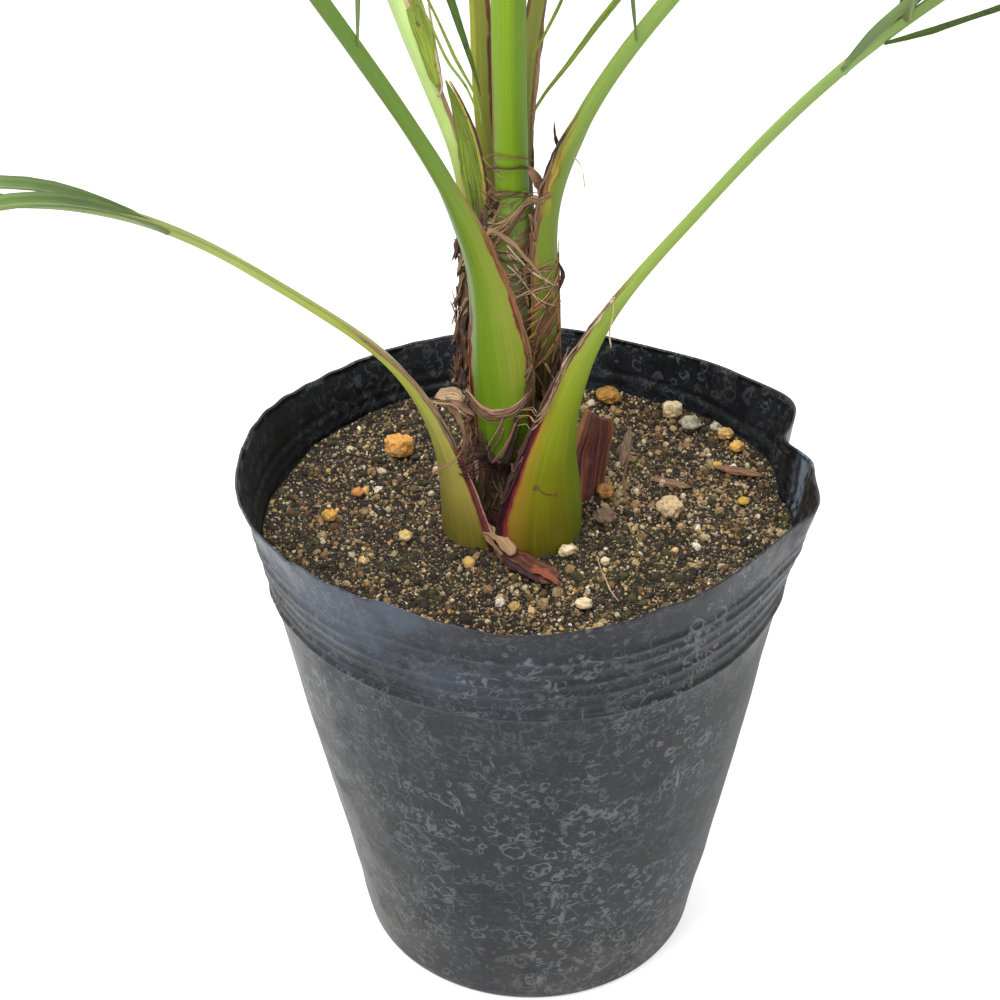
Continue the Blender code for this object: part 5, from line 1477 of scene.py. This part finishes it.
# loose ribbons: points in millimetres from the palm's axis at the mix's level
ribbons = (
    dict(tone="tan", width=((0, 1.0), (0.2, 2.2), (0.45, 1.4), (0.8, 1.6), (1, 0.4)), roll=20, twist=120,
         curl=0.2,
         route=((-29, -33, 66), (-25.5, -32.5, 67), (-21.4, -32, 64), (-18.6, -32.5, 59),
                (-17.3, -34.5, 53),
                (-18.3, -36.5, 49), (-23.3, -39, 45), (-27.5, -40, 43), (-30, -40, 38))),
    dict(tone="tan", width=((0, 0.8), (0.3, 1.2), (0.7, 0.8), (1, 0.4)), roll=60, twist=80,
         route=((-31, -35, 71), (-28, -33.5, 67.5), (-24, -33, 66.5), (-21, -33, 66), (-18, -33, 63),
                (-15, -32, 60))),
    dict(tone="pale", width=((0, 1.5), (0.3, 5), (0.7, 5), (1, 1.5)), roll=40, twist=30, curl=0.25,
         route=((-27.4, -24, 64), (-24, -24.4, 65.6), (-20.6, -24.6, 65.8), (-18, -25, 63.4))),
    dict(tone="pink", width=((0, 0.8), (0.3, 1.6), (0.7, 2.2), (1, 1)), roll=10, twist=40, curl=0.2,
         route=((-22.8, -31, 66), (-19.8, -32.4, 66.6), (-17, -31.6, 63.6), (-13.6, -30.6, 60.6))),
    dict(tone="tan", width=((0, 1.3), (0.25, 1.5), (0.5, 0.9), (1, 0.5)), twist=90,
         route=((-10, -31.5, 127), (-7.9, -33, 132), (-3, -30, 128.5), (2, -28.5, 123), (5.5, -27, 118),
                (9, -26, 113), (11.7, -25, 108), (14, -24, 103), (15.3, -23, 98), (15.6, -23, 92))),
    dict(tone="pink", width=((0, 0.7), (0.3, 1.0), (0.8, 1.7), (1, 0.8)), twist=40,
         route=((0.8, -28.6, 56), (-0.8, -28.6, 51), (-3.2, -29, 45.5), (-5.6, -29, 42),
                (-7.4, -29, 39.6))),
    dict(tone="tan", width=((0, 2.0), (0.3, 5.0), (0.8, 6.0), (1, 4.0)), roll=60, curl=0.2, fray=0.4,
         route=((-11.6, -20, 9), (-8.6, -24.4, 7.8), (-5.0, -28.6, 7), (-2.0, -33, 6), (-0.6, -36, 4.4))),
    dict(tone="brown", width=((0, 1.0), (0.5, 2.4), (1, 0.8)), roll=40, curl=0.3, fray=0.5,
         route=((-12.4, -22, 7), (-9.6, -26.4, 6.2), (-6.4, -31, 5), (-3.6, -35, 4))),
    dict(tone="red", width=((0, 2.0), (0.5, 4.4), (1, 3.0)), roll=75, curl=0.3, fray=0.7,
         route=((6.6, -43, 3.6), (10, -46.6, 4.6), (13.4, -49.6, 4.0), (16, -51.6, 2.6))),
    dict(tone="dark", width=((0, 1.0), (0.5, 2.6), (1, 1.0)), roll=20, curl=0.3, fray=0.6,
         route=((-4, -36, 4), (0.6, -41.6, 4), (5.4, -46.4, 3.4), (9, -50, 2.4))),
    dict(tone="leafDark", width=((0, 1.0), (0.3, 2.6), (0.8, 2.4), (1, 1.6)), roll=60, curl=0.25, fray=0.05,
         route=((104, -84.5, 214), (113.6, -92, 220), (120.8, -100, 226), (128.4, -110, 233),
                (134.3, -116, 238))),
    dict(tone="pale", width=((0, 0.35), (0.5, 0.5), (1, 0.3)), twist=90,
         route=((30.7, -38.8, 6), (32, -42, 2.6), (33.4, -47, 1.8), (35, -54, 1.6), (37.4, -61, 2))),
    dict(tone="brown", width=((0, 1.0), (0.3, 2.2), (0.7, 1.4), (1, 0.6)), twist=60, fray=0.6,
         route=((48.4, 42, 6), (46.6, 33, 5), (44.6, 24, 4), (43.4, 14, 4), (43.8, 5, 2.4))),
    dict(tone="pink", width=((0, 1.5), (0.35, 5.4), (0.75, 4.5), (1, 1.5)), roll=15, twist=30, curl=0.15,
         route=((4.6, -15, 147), (7, -15, 144), (8.4, -15, 140), (9, -15, 135))),
    dict(tone="dark", width=((0, 0.6), (0.5, 1.5), (1, 0.7)), twist=300,
         route=((7, -17, 142), (9.5, -18, 141.5), (11, -17, 139), (9.8, -16, 137), (8, -16, 138))),
    dict(tone="pink", width=((0, 1), (0.5, 3.2), (1, 1)), roll=-50, twist=40, curl=0.2,
         route=((5.4, -17, 131), (7.2, -17.2, 126), (7.0, -17.4, 121))),
    dict(tone="brown", width=((0, 1), (0.5, 2.4), (1, 1)), roll=20, twist=-50, curl=0.2,
         route=((5.6, -17, 124), (6.4, -17.3, 119), (5.4, -17, 113), (3, -17, 109))),
    dict(tone="dark", width=((0, 1), (0.5, 2.2), (1, 1)), roll=60, twist=30,
         route=((14, -12, 112), (16.5, -12, 109), (17, -12, 104), (15.6, -12, 100))),
    dict(tone="pale", width=((0, 0.4), (0.5, 1.0), (1, 0.3)), twist=120,
         route=((32.5, -43.5, 114), (33, -44.6, 108), (32, -45, 102), (32.6, -45, 95))),
    dict(tone="pale", width=((0, 0.4), (0.5, 0.9), (1, 0.3)), twist=90,
         route=((18, -20, 154), (21, -21.6, 152), (23, -22, 147), (23.4, -22, 143))),
    dict(tone="dark", width=((0, 1.3), (0.5, 0.9), (1, 0.12)), roll=40,
         route=((14.4, -20.6, 157), (13.4, -21.4, 161), (13.0, -22, 166))),
    dict(tone="tan", width=((0, 0.5), (0.3, 2.0), (0.7, 2.4), (1, 1.0)), roll=70, fray=0.4,
         route=((8.5, -4, 185), (7.3, -7, 171), (6.2, -10, 158), (5.4, -12, 149))),
    dict(tone="olive", width=((0, 0.6), (0.25, 5.0), (0.6, 8.6), (1, 6)), roll=62, curl=0.1, fray=0.06,
         route=((-22.6, -1, 172), (-18.4, -2, 161), (-15.2, -4, 148), (-12.8, -6, 136), (-11, -8, 120))),
    dict(tone="yellow", width=((0, 0.4), (0.3, 1.1), (0.7, 1.3), (1, 0.8)), roll=62, fray=0.2,
         route=((-21.6, -1.6, 172), (-16.4, -3, 162), (-12.2, -5, 150), (-10.0, -7, 138), (-9, -9, 124))),
    dict(tone="dark", width=((0, 0.3), (0.3, 0.8), (0.7, 1.0), (1, 0.8)), roll=62, fray=0.4,
         route=((-21.0, -1.8, 172), (-15.7, -3.2, 162), (-11.4, -5.2, 150), (-9.2, -7.2, 138),
                (-8.2, -9.2, 124))),
    dict(tone="olive", width=((0, 9.4), (0.55, 7.6), (0.88, 5.2), (1, 1.8)), roll=62, curl=0.12, fray=0.04,
         route=((-34.0, 17, 196), (-31.7, 12.5, 189), (-29.3, 8, 183), (-27.0, 4, 176), (-25.0, 0.5, 169))),
    dict(tone="pale", width=((0, 0.8), (0.5, 0.9), (1, 0.8)), roll=62, fray=0.3,
         route=((-28.6, 15, 196), (-27.6, 10.5, 189), (-26.3, 6, 183), (-25.3, 2, 176), (-24.2, -1, 168),
                (-25.4, -0.4, 166))),
    dict(tone="leaf", width=((0, 1.0), (0.5, 1.5), (1, 0.5)), roll=30, fray=0.1,
         route=((-33, 0, 202), (-26.2, -2, 189), (-21.4, -4, 179), (-15.8, -7, 172), (-12.2, -10, 164))),
    dict(tone="leaf", width=((0, 0.9), (0.5, 1.2), (1, 0.5)), roll=60, fray=0.1,
         route=((-29.5, 0, 202), (-23.4, -1, 189), (-18, -4, 178), (-13.2, -7, 170), (-10.4, -11, 160))),
    dict(tone="leafDark", width=((0, 4.2), (0.4, 3.4), (0.8, 1.6), (1, 0.3)), roll=62, curl=0.25, fray=0.05,
         route=((-26, 4, 216), (-20.3, 2, 198), (-16.4, 0, 186), (-12.9, -2, 175), (-11, -4, 168))),
    dict(tone="leaf", width=((0, 0.8), (0.4, 3.0), (0.8, 3.2), (1, 0.4)), roll=35, curl=0.35, fray=0.05,
         route=((6.1, -6, 162), (10.3, -7, 170), (15.1, -8, 177), (24.5, -9, 191), (33.1, -10, 203),
                (48, -12, 222), (66, -15, 246))),
    dict(tone="leaf", width=((0, 0.6), (0.5, 1.6), (1, 0.6)), roll=35, curl=0.3, fray=0.05,
         route=((5.3, -4, 180), (8, -4, 185), (11.4, -4, 192), (15.5, -4, 201), (20, -4, 214))),
    dict(tone="rust", width=((0, 0.6), (0.5, 2.0), (1, 1.2)), roll=-20, fray=0.5,
         route=((-17.8, -8, 140), (-16.2, -9, 132), (-14, -11, 124), (-12.6, -13, 116))))


# threads laid round the palm as turn and height, on the surfaces that they are named for
threadRuns = (
    dict(on=("frontLeft",), count=9, tone="pink", size=0.7, spread=1.3, drift=1.5,
         route=((226, 62), (236, 59.6), (246, 58), (256, 57.8), (266, 59), (276, 61.6), (286, 66))),
    dict(on=("frontLeft",), count=6, tone="tan", size=0.5, spread=2.2, drift=5,
         route=((228, 60), (240, 58), (252, 56.6), (264, 58), (276, 61.6), (288, 68))),
    dict(on=("frontLeft",), count=4, tone="tan", size=0.5, spread=2.5, drift=3,
         route=((262, 54), (258, 48), (250, 42), (246, 37))),
    dict(on=("frontLeft", "lowRight"), count=6, tone="tan", size=0.7, spread=2.0, drift=3,
         route=((272, 55), (282, 60), (288, 68), (292, 78), (297, 90))),
    dict(on=("sheath", "centre", "right"), count=11, tone="tan", size=0.7, spread=1.7, drift=2,
         route=((232, 124), (246, 124.5), (262, 127), (276, 131), (290, 136), (300, 140))),
    dict(on=("sheath", "centre", "right"), count=6, tone="brown", size=0.7, spread=2.2, drift=3,
         route=((236, 119), (250, 121), (266, 125), (280, 131), (294, 138))),
    dict(on=("sheath", "centre"), count=3, tone="brown", size=0.5, spread=0.8, drift=1.5,
         route=((232, 144), (246, 146.5), (262, 147.5), (278, 147), (296, 144))),
    dict(on=("sheath", "centre"), count=2, tone="rust", size=0.5, spread=0.7, drift=1.5,
         route=((232, 149), (246, 151), (262, 151.6), (278, 150.5), (296, 148))),
    dict(on=("sheath", "centre"), count=4, tone="brown", size=0.5, spread=1.3, drift=3,
         route=((234, 134), (248, 136.5), (264, 137.4), (280, 137), (298, 134))),
    dict(on=("sheath", "centre"), count=5, tone="rust", size=0.45, spread=9, drift=8,
         route=((228, 146), (240, 142), (252, 138), (262, 136))),
    dict(on=("sheath",), count=14, tone="brown", size=0.6, spread=16, drift=4,
         route=((242, 104), (258, 102), (276, 101), (300, 104))),
    dict(on=("sheath", "right"), count=11, tone="tan", size=0.65, spread=5, drift=3,
         route=((258, 103), (272, 103), (290, 105), (304, 107), (318, 106))),
    dict(on=("sheath", "right"), count=5, tone="pale", size=0.6, spread=7, drift=7,
         route=((262, 116), (280, 110), (296, 104), (316, 98))),
    dict(on=("right",), count=22, tone="rust", size=0.6, spread=17, drift=4,
         route=((286, 84), (298, 87), (310, 92), (322, 96), (333, 98))),
    dict(on=("right",), count=7, tone="rust", size=0.6, spread=12, drift=12,
         route=((330, 104), (326, 90), (328, 76), (322, 66))),
    dict(on=("frontLeft", "sheath", "right"), count=14, tone="brown", size=0.8, spread=8, drift=10,
         route=((280, 68), (290, 74), (300, 82), (312, 90))),
    dict(on=("stem", "lowLeft", "lowRight", "frontLeft"), count=16, tone="dark", size=0.9, spread=7,
         drift=9,
         route=((238, 42), (248, 36), (258, 30), (268, 40), (276, 52))))


def moved(route, dice, spread, drift):
    shift = dice.uniform(-spread, spread)
    slope = dice.uniform(-drift, drift)
    size = len(route) - 1
    return [(turn + dice.uniform(-1.5, 1.5),
             height + shift + slope * (k / size - 0.5) + dice.uniform(-0.7, 0.7))
            for k, (turn, height) in enumerate(route)]


# small red scars on a stalk: how far up, how far across and how big, joined by a scratch
scars = (dict(on="lowRight", up=38, across=0.50, size=0.75),
         dict(on="lowRight", up=33, across=0.12, size=0.5))

dryTones = dict(
    tan=((0.20, 0.11, 0.05), (0.34, 0.21, 0.11), (0.46, 0.31, 0.18)),
    pale=((0.42, 0.28, 0.17), (0.58, 0.43, 0.28), (0.68, 0.55, 0.40)),
    pink=((0.16, 0.07, 0.045), (0.33, 0.17, 0.11), (0.50, 0.31, 0.22)),
    leaf=((0.22, 0.30, 0.03), (0.26, 0.36, 0.06), (0.3, 0.4, 0.08)),
    leafDark=((0.06, 0.11, 0.01), (0.07, 0.13, 0.015), (0.09, 0.15, 0.02)),
    olive=((0.12, 0.17, 0.012), (0.15, 0.21, 0.015), (0.18, 0.24, 0.02)),
    yellow=((0.42, 0.36, 0.05), (0.46, 0.40, 0.06), (0.5, 0.42, 0.09)),
    red=((0.16, 0.04, 0.02), (0.30, 0.08, 0.03), (0.42, 0.17, 0.06)),
    rust=((0.22, 0.09, 0.03), (0.34, 0.15, 0.05), (0.44, 0.24, 0.10)),
    brown=((0.07, 0.03, 0.015), (0.16, 0.08, 0.04), (0.30, 0.18, 0.09)),
    dark=((0.02, 0.008, 0.008), (0.06, 0.022, 0.018), (0.14, 0.07, 0.045)))


def makeDressing(lines):
    dice = random.Random(29)
    line = StalkLine(sheath)
    lines = dict(lines, sheath=line)
    lengths = np.linspace(0, line.total, int(line.total / 1.5))
    rings = [skinRing(line, length, 33) for length in lengths]
    rings = [ring + np.outer(0.35 * softNoise(ring, 3.0, 34), -line.at(length)[2])
             for ring, length in zip(rings, lengths)]
    skinPiece("sheathStalk", np.array(rings) + palm, skinAcross(), lengths / 1000, sheathFinish(),
              "leaf_green", "stem")
    bundles = {tone: Bundle() for tone in dryTones}
    number = 0
    for strip in edgeStrips:
        line = lines[strip["on"]]
        route = [line.point(length, strip["side"] * 1.0, 0.25) for length in
                 np.arange(strip["start"], strip["end"], 5.0)]
        route = [point + np.array([dice.uniform(-0.25, 0.25) for _ in range(3)]) for point in route]
        number += 1
        addRibbon(bundles[strip["tone"]], number, route,
                  ((0, 0.4), (0.15, 1.0), (0.5, 0.7), (0.8, 1.1), (1, 0.3)),
                  scale=strip["width"], roll=strip["roll"], curl=0.12, fray=0.5, twist=25)
    for ribbon in ribbons:
        number += 1
        shape = {key: value for key, value in ribbon.items() if key in ("roll", "twist", "curl", "fray")}
        shape.setdefault("fray", 0.35)
        addRibbon(bundles[ribbon["tone"]], number, ribbon["route"], ribbon["width"], **shape)
    for scar in scars:
        line = lines[scar["on"]]
        turns = np.linspace(0, 2 * math.pi, 9)
        route = [line.point(scar["up"] + scar["size"] * math.cos(turn),
                            scar["across"] + scar["size"] / 16 * math.sin(turn), 0.12) for turn in turns]
        number += 1
        addRibbon(bundles["red"], number, route, ((0, 0.5), (1, 0.5)), step=0.5, lanes=3)
    number += 1
    scratch = [lines["lowRight"].point(length, across, 0.1)
               for length, across in ((37, 0.44), (34.6, 0.32), (33.4, 0.18))]
    addRibbon(bundles["dark"], number, scratch, ((0, 0.2), (1, 0.2)), step=0.8, lanes=3)
    trees = {}
    for run in threadRuns:
        if run["on"] not in trees:
            trees[run["on"]] = skinTree(["stemCore" if name == "stem" else name + "Stalk"
                                         for name in run["on"]])
        for _ in range(run["count"]):
            number += 1
            route = draped(trees[run["on"]], moved(run["route"], dice, run["spread"], run["drift"]),
                           dice.uniform(0.25, 0.9))
            addThread(bundles[run["tone"]], number, route, run["size"] * dice.uniform(0.6, 1.2))
    number = makeShags(bundles, number, dice)
    for tone, bundle in bundles.items():
        slot = "dry_scale"
        if tone in ("tan", "brown", "rust"):
            slot = "stem_fibre"
        elif tone in ("leaf", "leafDark", "olive", "yellow"):
            slot = "leaf_green"
        bundle.piece(tone + "Fibres", fibreTone(tone + "Fibre", dryTones[tone]), slot)
    print("dressing: %d strips and threads" % number)


# ragged ends of old sheaths on the stem: where round it, how high, how many and how big
shags = (
    dict(on=("stem", "left", "backLeft"), turns=(172, 226), heights=(18, 118), count=120, length=(5, 13),
         width=(1.2, 3.6), out=(0.3, 2.6), tones=("pink", "brown", "tan", "dark", "brown")),
    dict(on=("stem", "left", "backLeft"), turns=(180, 214), heights=(46, 70), count=16, length=(4, 8),
         width=(1.4, 3.2), out=(0.5, 3.2), tones=("dark", "brown")),
    dict(on=("stem", "left"), turns=(200, 236), heights=(24, 60), count=26, length=(8, 16),
         width=(0.3, 0.9), out=(0.5, 3), tones=("brown", "dark")),
    dict(on=("stem", "frontLeft"), turns=(236, 292), heights=(6, 36), count=70, length=(5, 12),
         width=(0.8, 2.4), out=(0.3, 2.0), tones=("dark", "brown", "dark")),
    dict(on=("stem", "right"), turns=(270, 334), heights=(4, 80), count=150, length=(6, 14),
         width=(0.5, 1.8), out=(0.3, 2.4), tones=("brown", "dark", "tan", "dark")),
    dict(on=("stem", "right", "left", "backLeft"), turns=(-24, 176), heights=(4, 116), count=190,
         length=(6, 15), width=(1.0, 3.2), out=(0.2, 2.6), tones=("brown", "tan", "dark", "pink")),
    dict(on=("sheath", "centre", "stem"), turns=(222, 244), heights=(98, 132), count=60, length=(5, 12),
         width=(0.8, 2.4), out=(0.2, 1.6), tones=("brown", "dark", "pink")),
    dict(on=("sheath", "stem"), turns=(284, 308), heights=(98, 126), count=44, length=(4, 10),
         width=(0.5, 1.8), out=(0.1, 1.0), tones=("brown", "dark", "tan", "pink")))


def makeShags(bundles, number, dice):
    for shag in shags:
        tree = skinTree(["stemCore" if name == "stem" else name + "Stalk" for name in shag["on"]])
        for _ in range(shag["count"]):
            number += 1
            turn = dice.uniform(*shag["turns"])
            height = dice.uniform(*shag["heights"])
            length = dice.uniform(*shag["length"])
            slant = dice.uniform(-1.6, 1.6)
            fall = dice.choice((-1, -1, 1))
            runs = [(turn + slant * share * length, height + fall * share * length)
                    for share in (0, 0.33, 0.66, 1)]
            route = draped(tree, runs, dice.uniform(0.1, 0.6))
            out = dice.uniform(*shag["out"])
            share = np.linspace(0, 1, len(route))[:, None]
            route = route + out * share ** 2 * unit(route * (1, 1, 0))
            width = dice.uniform(*shag["width"])
            addRibbon(bundles[dice.choice(shag["tones"])], number, route,
                      ((0, width), (0.5, 0.8 * width), (1, 0.15 * width)), fray=0.55, lanes=5, least=1,
                      roll=dice.uniform(-25, 25), twist=dice.uniform(-70, 70), curl=dice.uniform(0, 0.25))
    return number


def sheathFinish():
    look = Finish("sheathGreen", Roughness=0.6)
    u, v = look.skin()
    across = look.math("PINGPONG", u, 1.0)
    place = look.place()
    colour = look.ramp(look.times(v, 10.0),
                       ((0.0, (0.045, 0.03, 0.015)), (0.35, (0.04, 0.06, 0.015)), (0.7, (0.08, 0.12, 0.02)),
                        (1.0, (0.14, 0.22, 0.02))))
    slanted = look.plus(look.times(v, 420.0), look.times(across, 2.0))
    bands = look.strands(slanted, look.times(across, 1.5), 3.0, 0.6)
    colour = look.mix(look.between(bands, 0.5, 0.6), colour, (0.13, 0.065, 0.03))
    colour = look.mix(look.between(look.noise(place, 150, 4.0), 0.52, 0.68), colour, (0.045, 0.02, 0.012))
    return look.finish(colour, None, look.bump(bands, 0.0006, 0.8))


# stage: pale floor, soft lamps and the camera

stage = dict(camera=(-0.0126, -0.6, 0.587), tilt=57.0, lens=67.82,
             key=dict(at=(-0.7, -0.75, 2.2), size=1.1, power=62.0, colour=(1.0, 0.98, 0.94)),
             fill=dict(at=(0.7, -1.7, 1.0), size=1.6, power=19.0, colour=(0.98, 0.98, 1.0)),
             back=dict(at=(0.3, 1.3, 2.0), size=1.6, power=22.0, colour=(1.0, 1.0, 1.0)),
             sky=0.5, floorShine=0.55)


def makeStage():
    scene = bpy.context.scene
    scene.view_settings.view_transform = "Standard"
    camera = bpy.data.objects.new("camera", bpy.data.cameras.new("camera"))
    camera.data.lens = stage["lens"]
    camera.data.sensor_width = 36.0
    camera.data.clip_start = 0.01
    camera.location = stage["camera"]
    camera.rotation_euler = (math.radians(stage["tilt"]), 0, 0)
    scene.collection.objects.link(camera)
    scene.camera = camera
    for name in ("key", "fill", "back"):
        lamp = stage[name]
        light = bpy.data.lights.new(name, "AREA")
        light.shape = "DISK"
        light.size = lamp["size"]
        light.energy = lamp["power"]
        light.color = lamp["colour"]
        item = bpy.data.objects.new(name, light)
        item.location = lamp["at"]
        item.rotation_euler = (Vector((0, 0, 0.2)) - item.location).to_track_quat("-Z", "Y").to_euler()
        scene.collection.objects.link(item)
    makeFloor()
    makeSky()


def seenDirectly(tree):
    # 1 for rays from the camera, mirrors and glass
    path = tree.nodes.new("ShaderNodeLightPath")
    first = tree.nodes.new("ShaderNodeMath")
    second = tree.nodes.new("ShaderNodeMath")
    first.operation = second.operation = "MAXIMUM"
    tree.links.new(path.outputs["Is Camera Ray"], first.inputs[0])
    tree.links.new(path.outputs["Is Glossy Ray"], first.inputs[1])
    tree.links.new(first.outputs[0], second.inputs[0])
    tree.links.new(path.outputs["Is Transmission Ray"], second.inputs[1])
    return second.outputs[0]


def makeFloor():
    shape = bmesh.new()
    bmesh.ops.create_grid(shape, x_segments=8, y_segments=8, size=4.0)
    mesh = bpy.data.meshes.new("floor")
    shape.to_mesh(mesh)
    shape.free()
    floor = bpy.data.objects.new("floor", mesh)
    bpy.context.scene.collection.objects.link(floor)
    look = Finish("whiteFloor", Base_Color=(0.62, 0.62, 0.62, 1), Roughness=0.9, Specular_IOR_Level=0.0,
                  Emission_Color=(1, 1, 1, 1))
    look.feed(look.shader.inputs["Emission Strength"],
              look.times(seenDirectly(look.tree), stage["floorShine"]))
    floor.data.materials.append(look.material)


def makeSky():
    world = bpy.data.worlds.new("sky")
    bpy.context.scene.world = world
    world.use_nodes = True
    tree = world.node_tree
    back = tree.nodes["Background"]
    back.inputs["Color"].default_value = (1, 1, 1, 1)
    level = tree.nodes.new("ShaderNodeMapRange")
    level.inputs["To Min"].default_value = stage["sky"]
    level.inputs["To Max"].default_value = 1.0
    tree.links.new(seenDirectly(tree), level.inputs["Value"])
    tree.links.new(level.outputs["Result"], back.inputs["Strength"])


def makeFronds():
    lines = {name: StalkLine(spec) for name, spec in fronds.items()}
    trees = {name: stalkTree(line) for name, line in lines.items()}
    for name, spec in fronds.items():
        makeStalk(name, spec, lines[name])
    print("stalks: %d" % len(lines))
    makeLeaflets(lines, trees)
    return lines


makePot()
makeMix()
makeStones()
makeChips()
lines = makeFronds()
makeStem()
makeSpear()
makeScales()
makeDressing(lines)
makeStage()
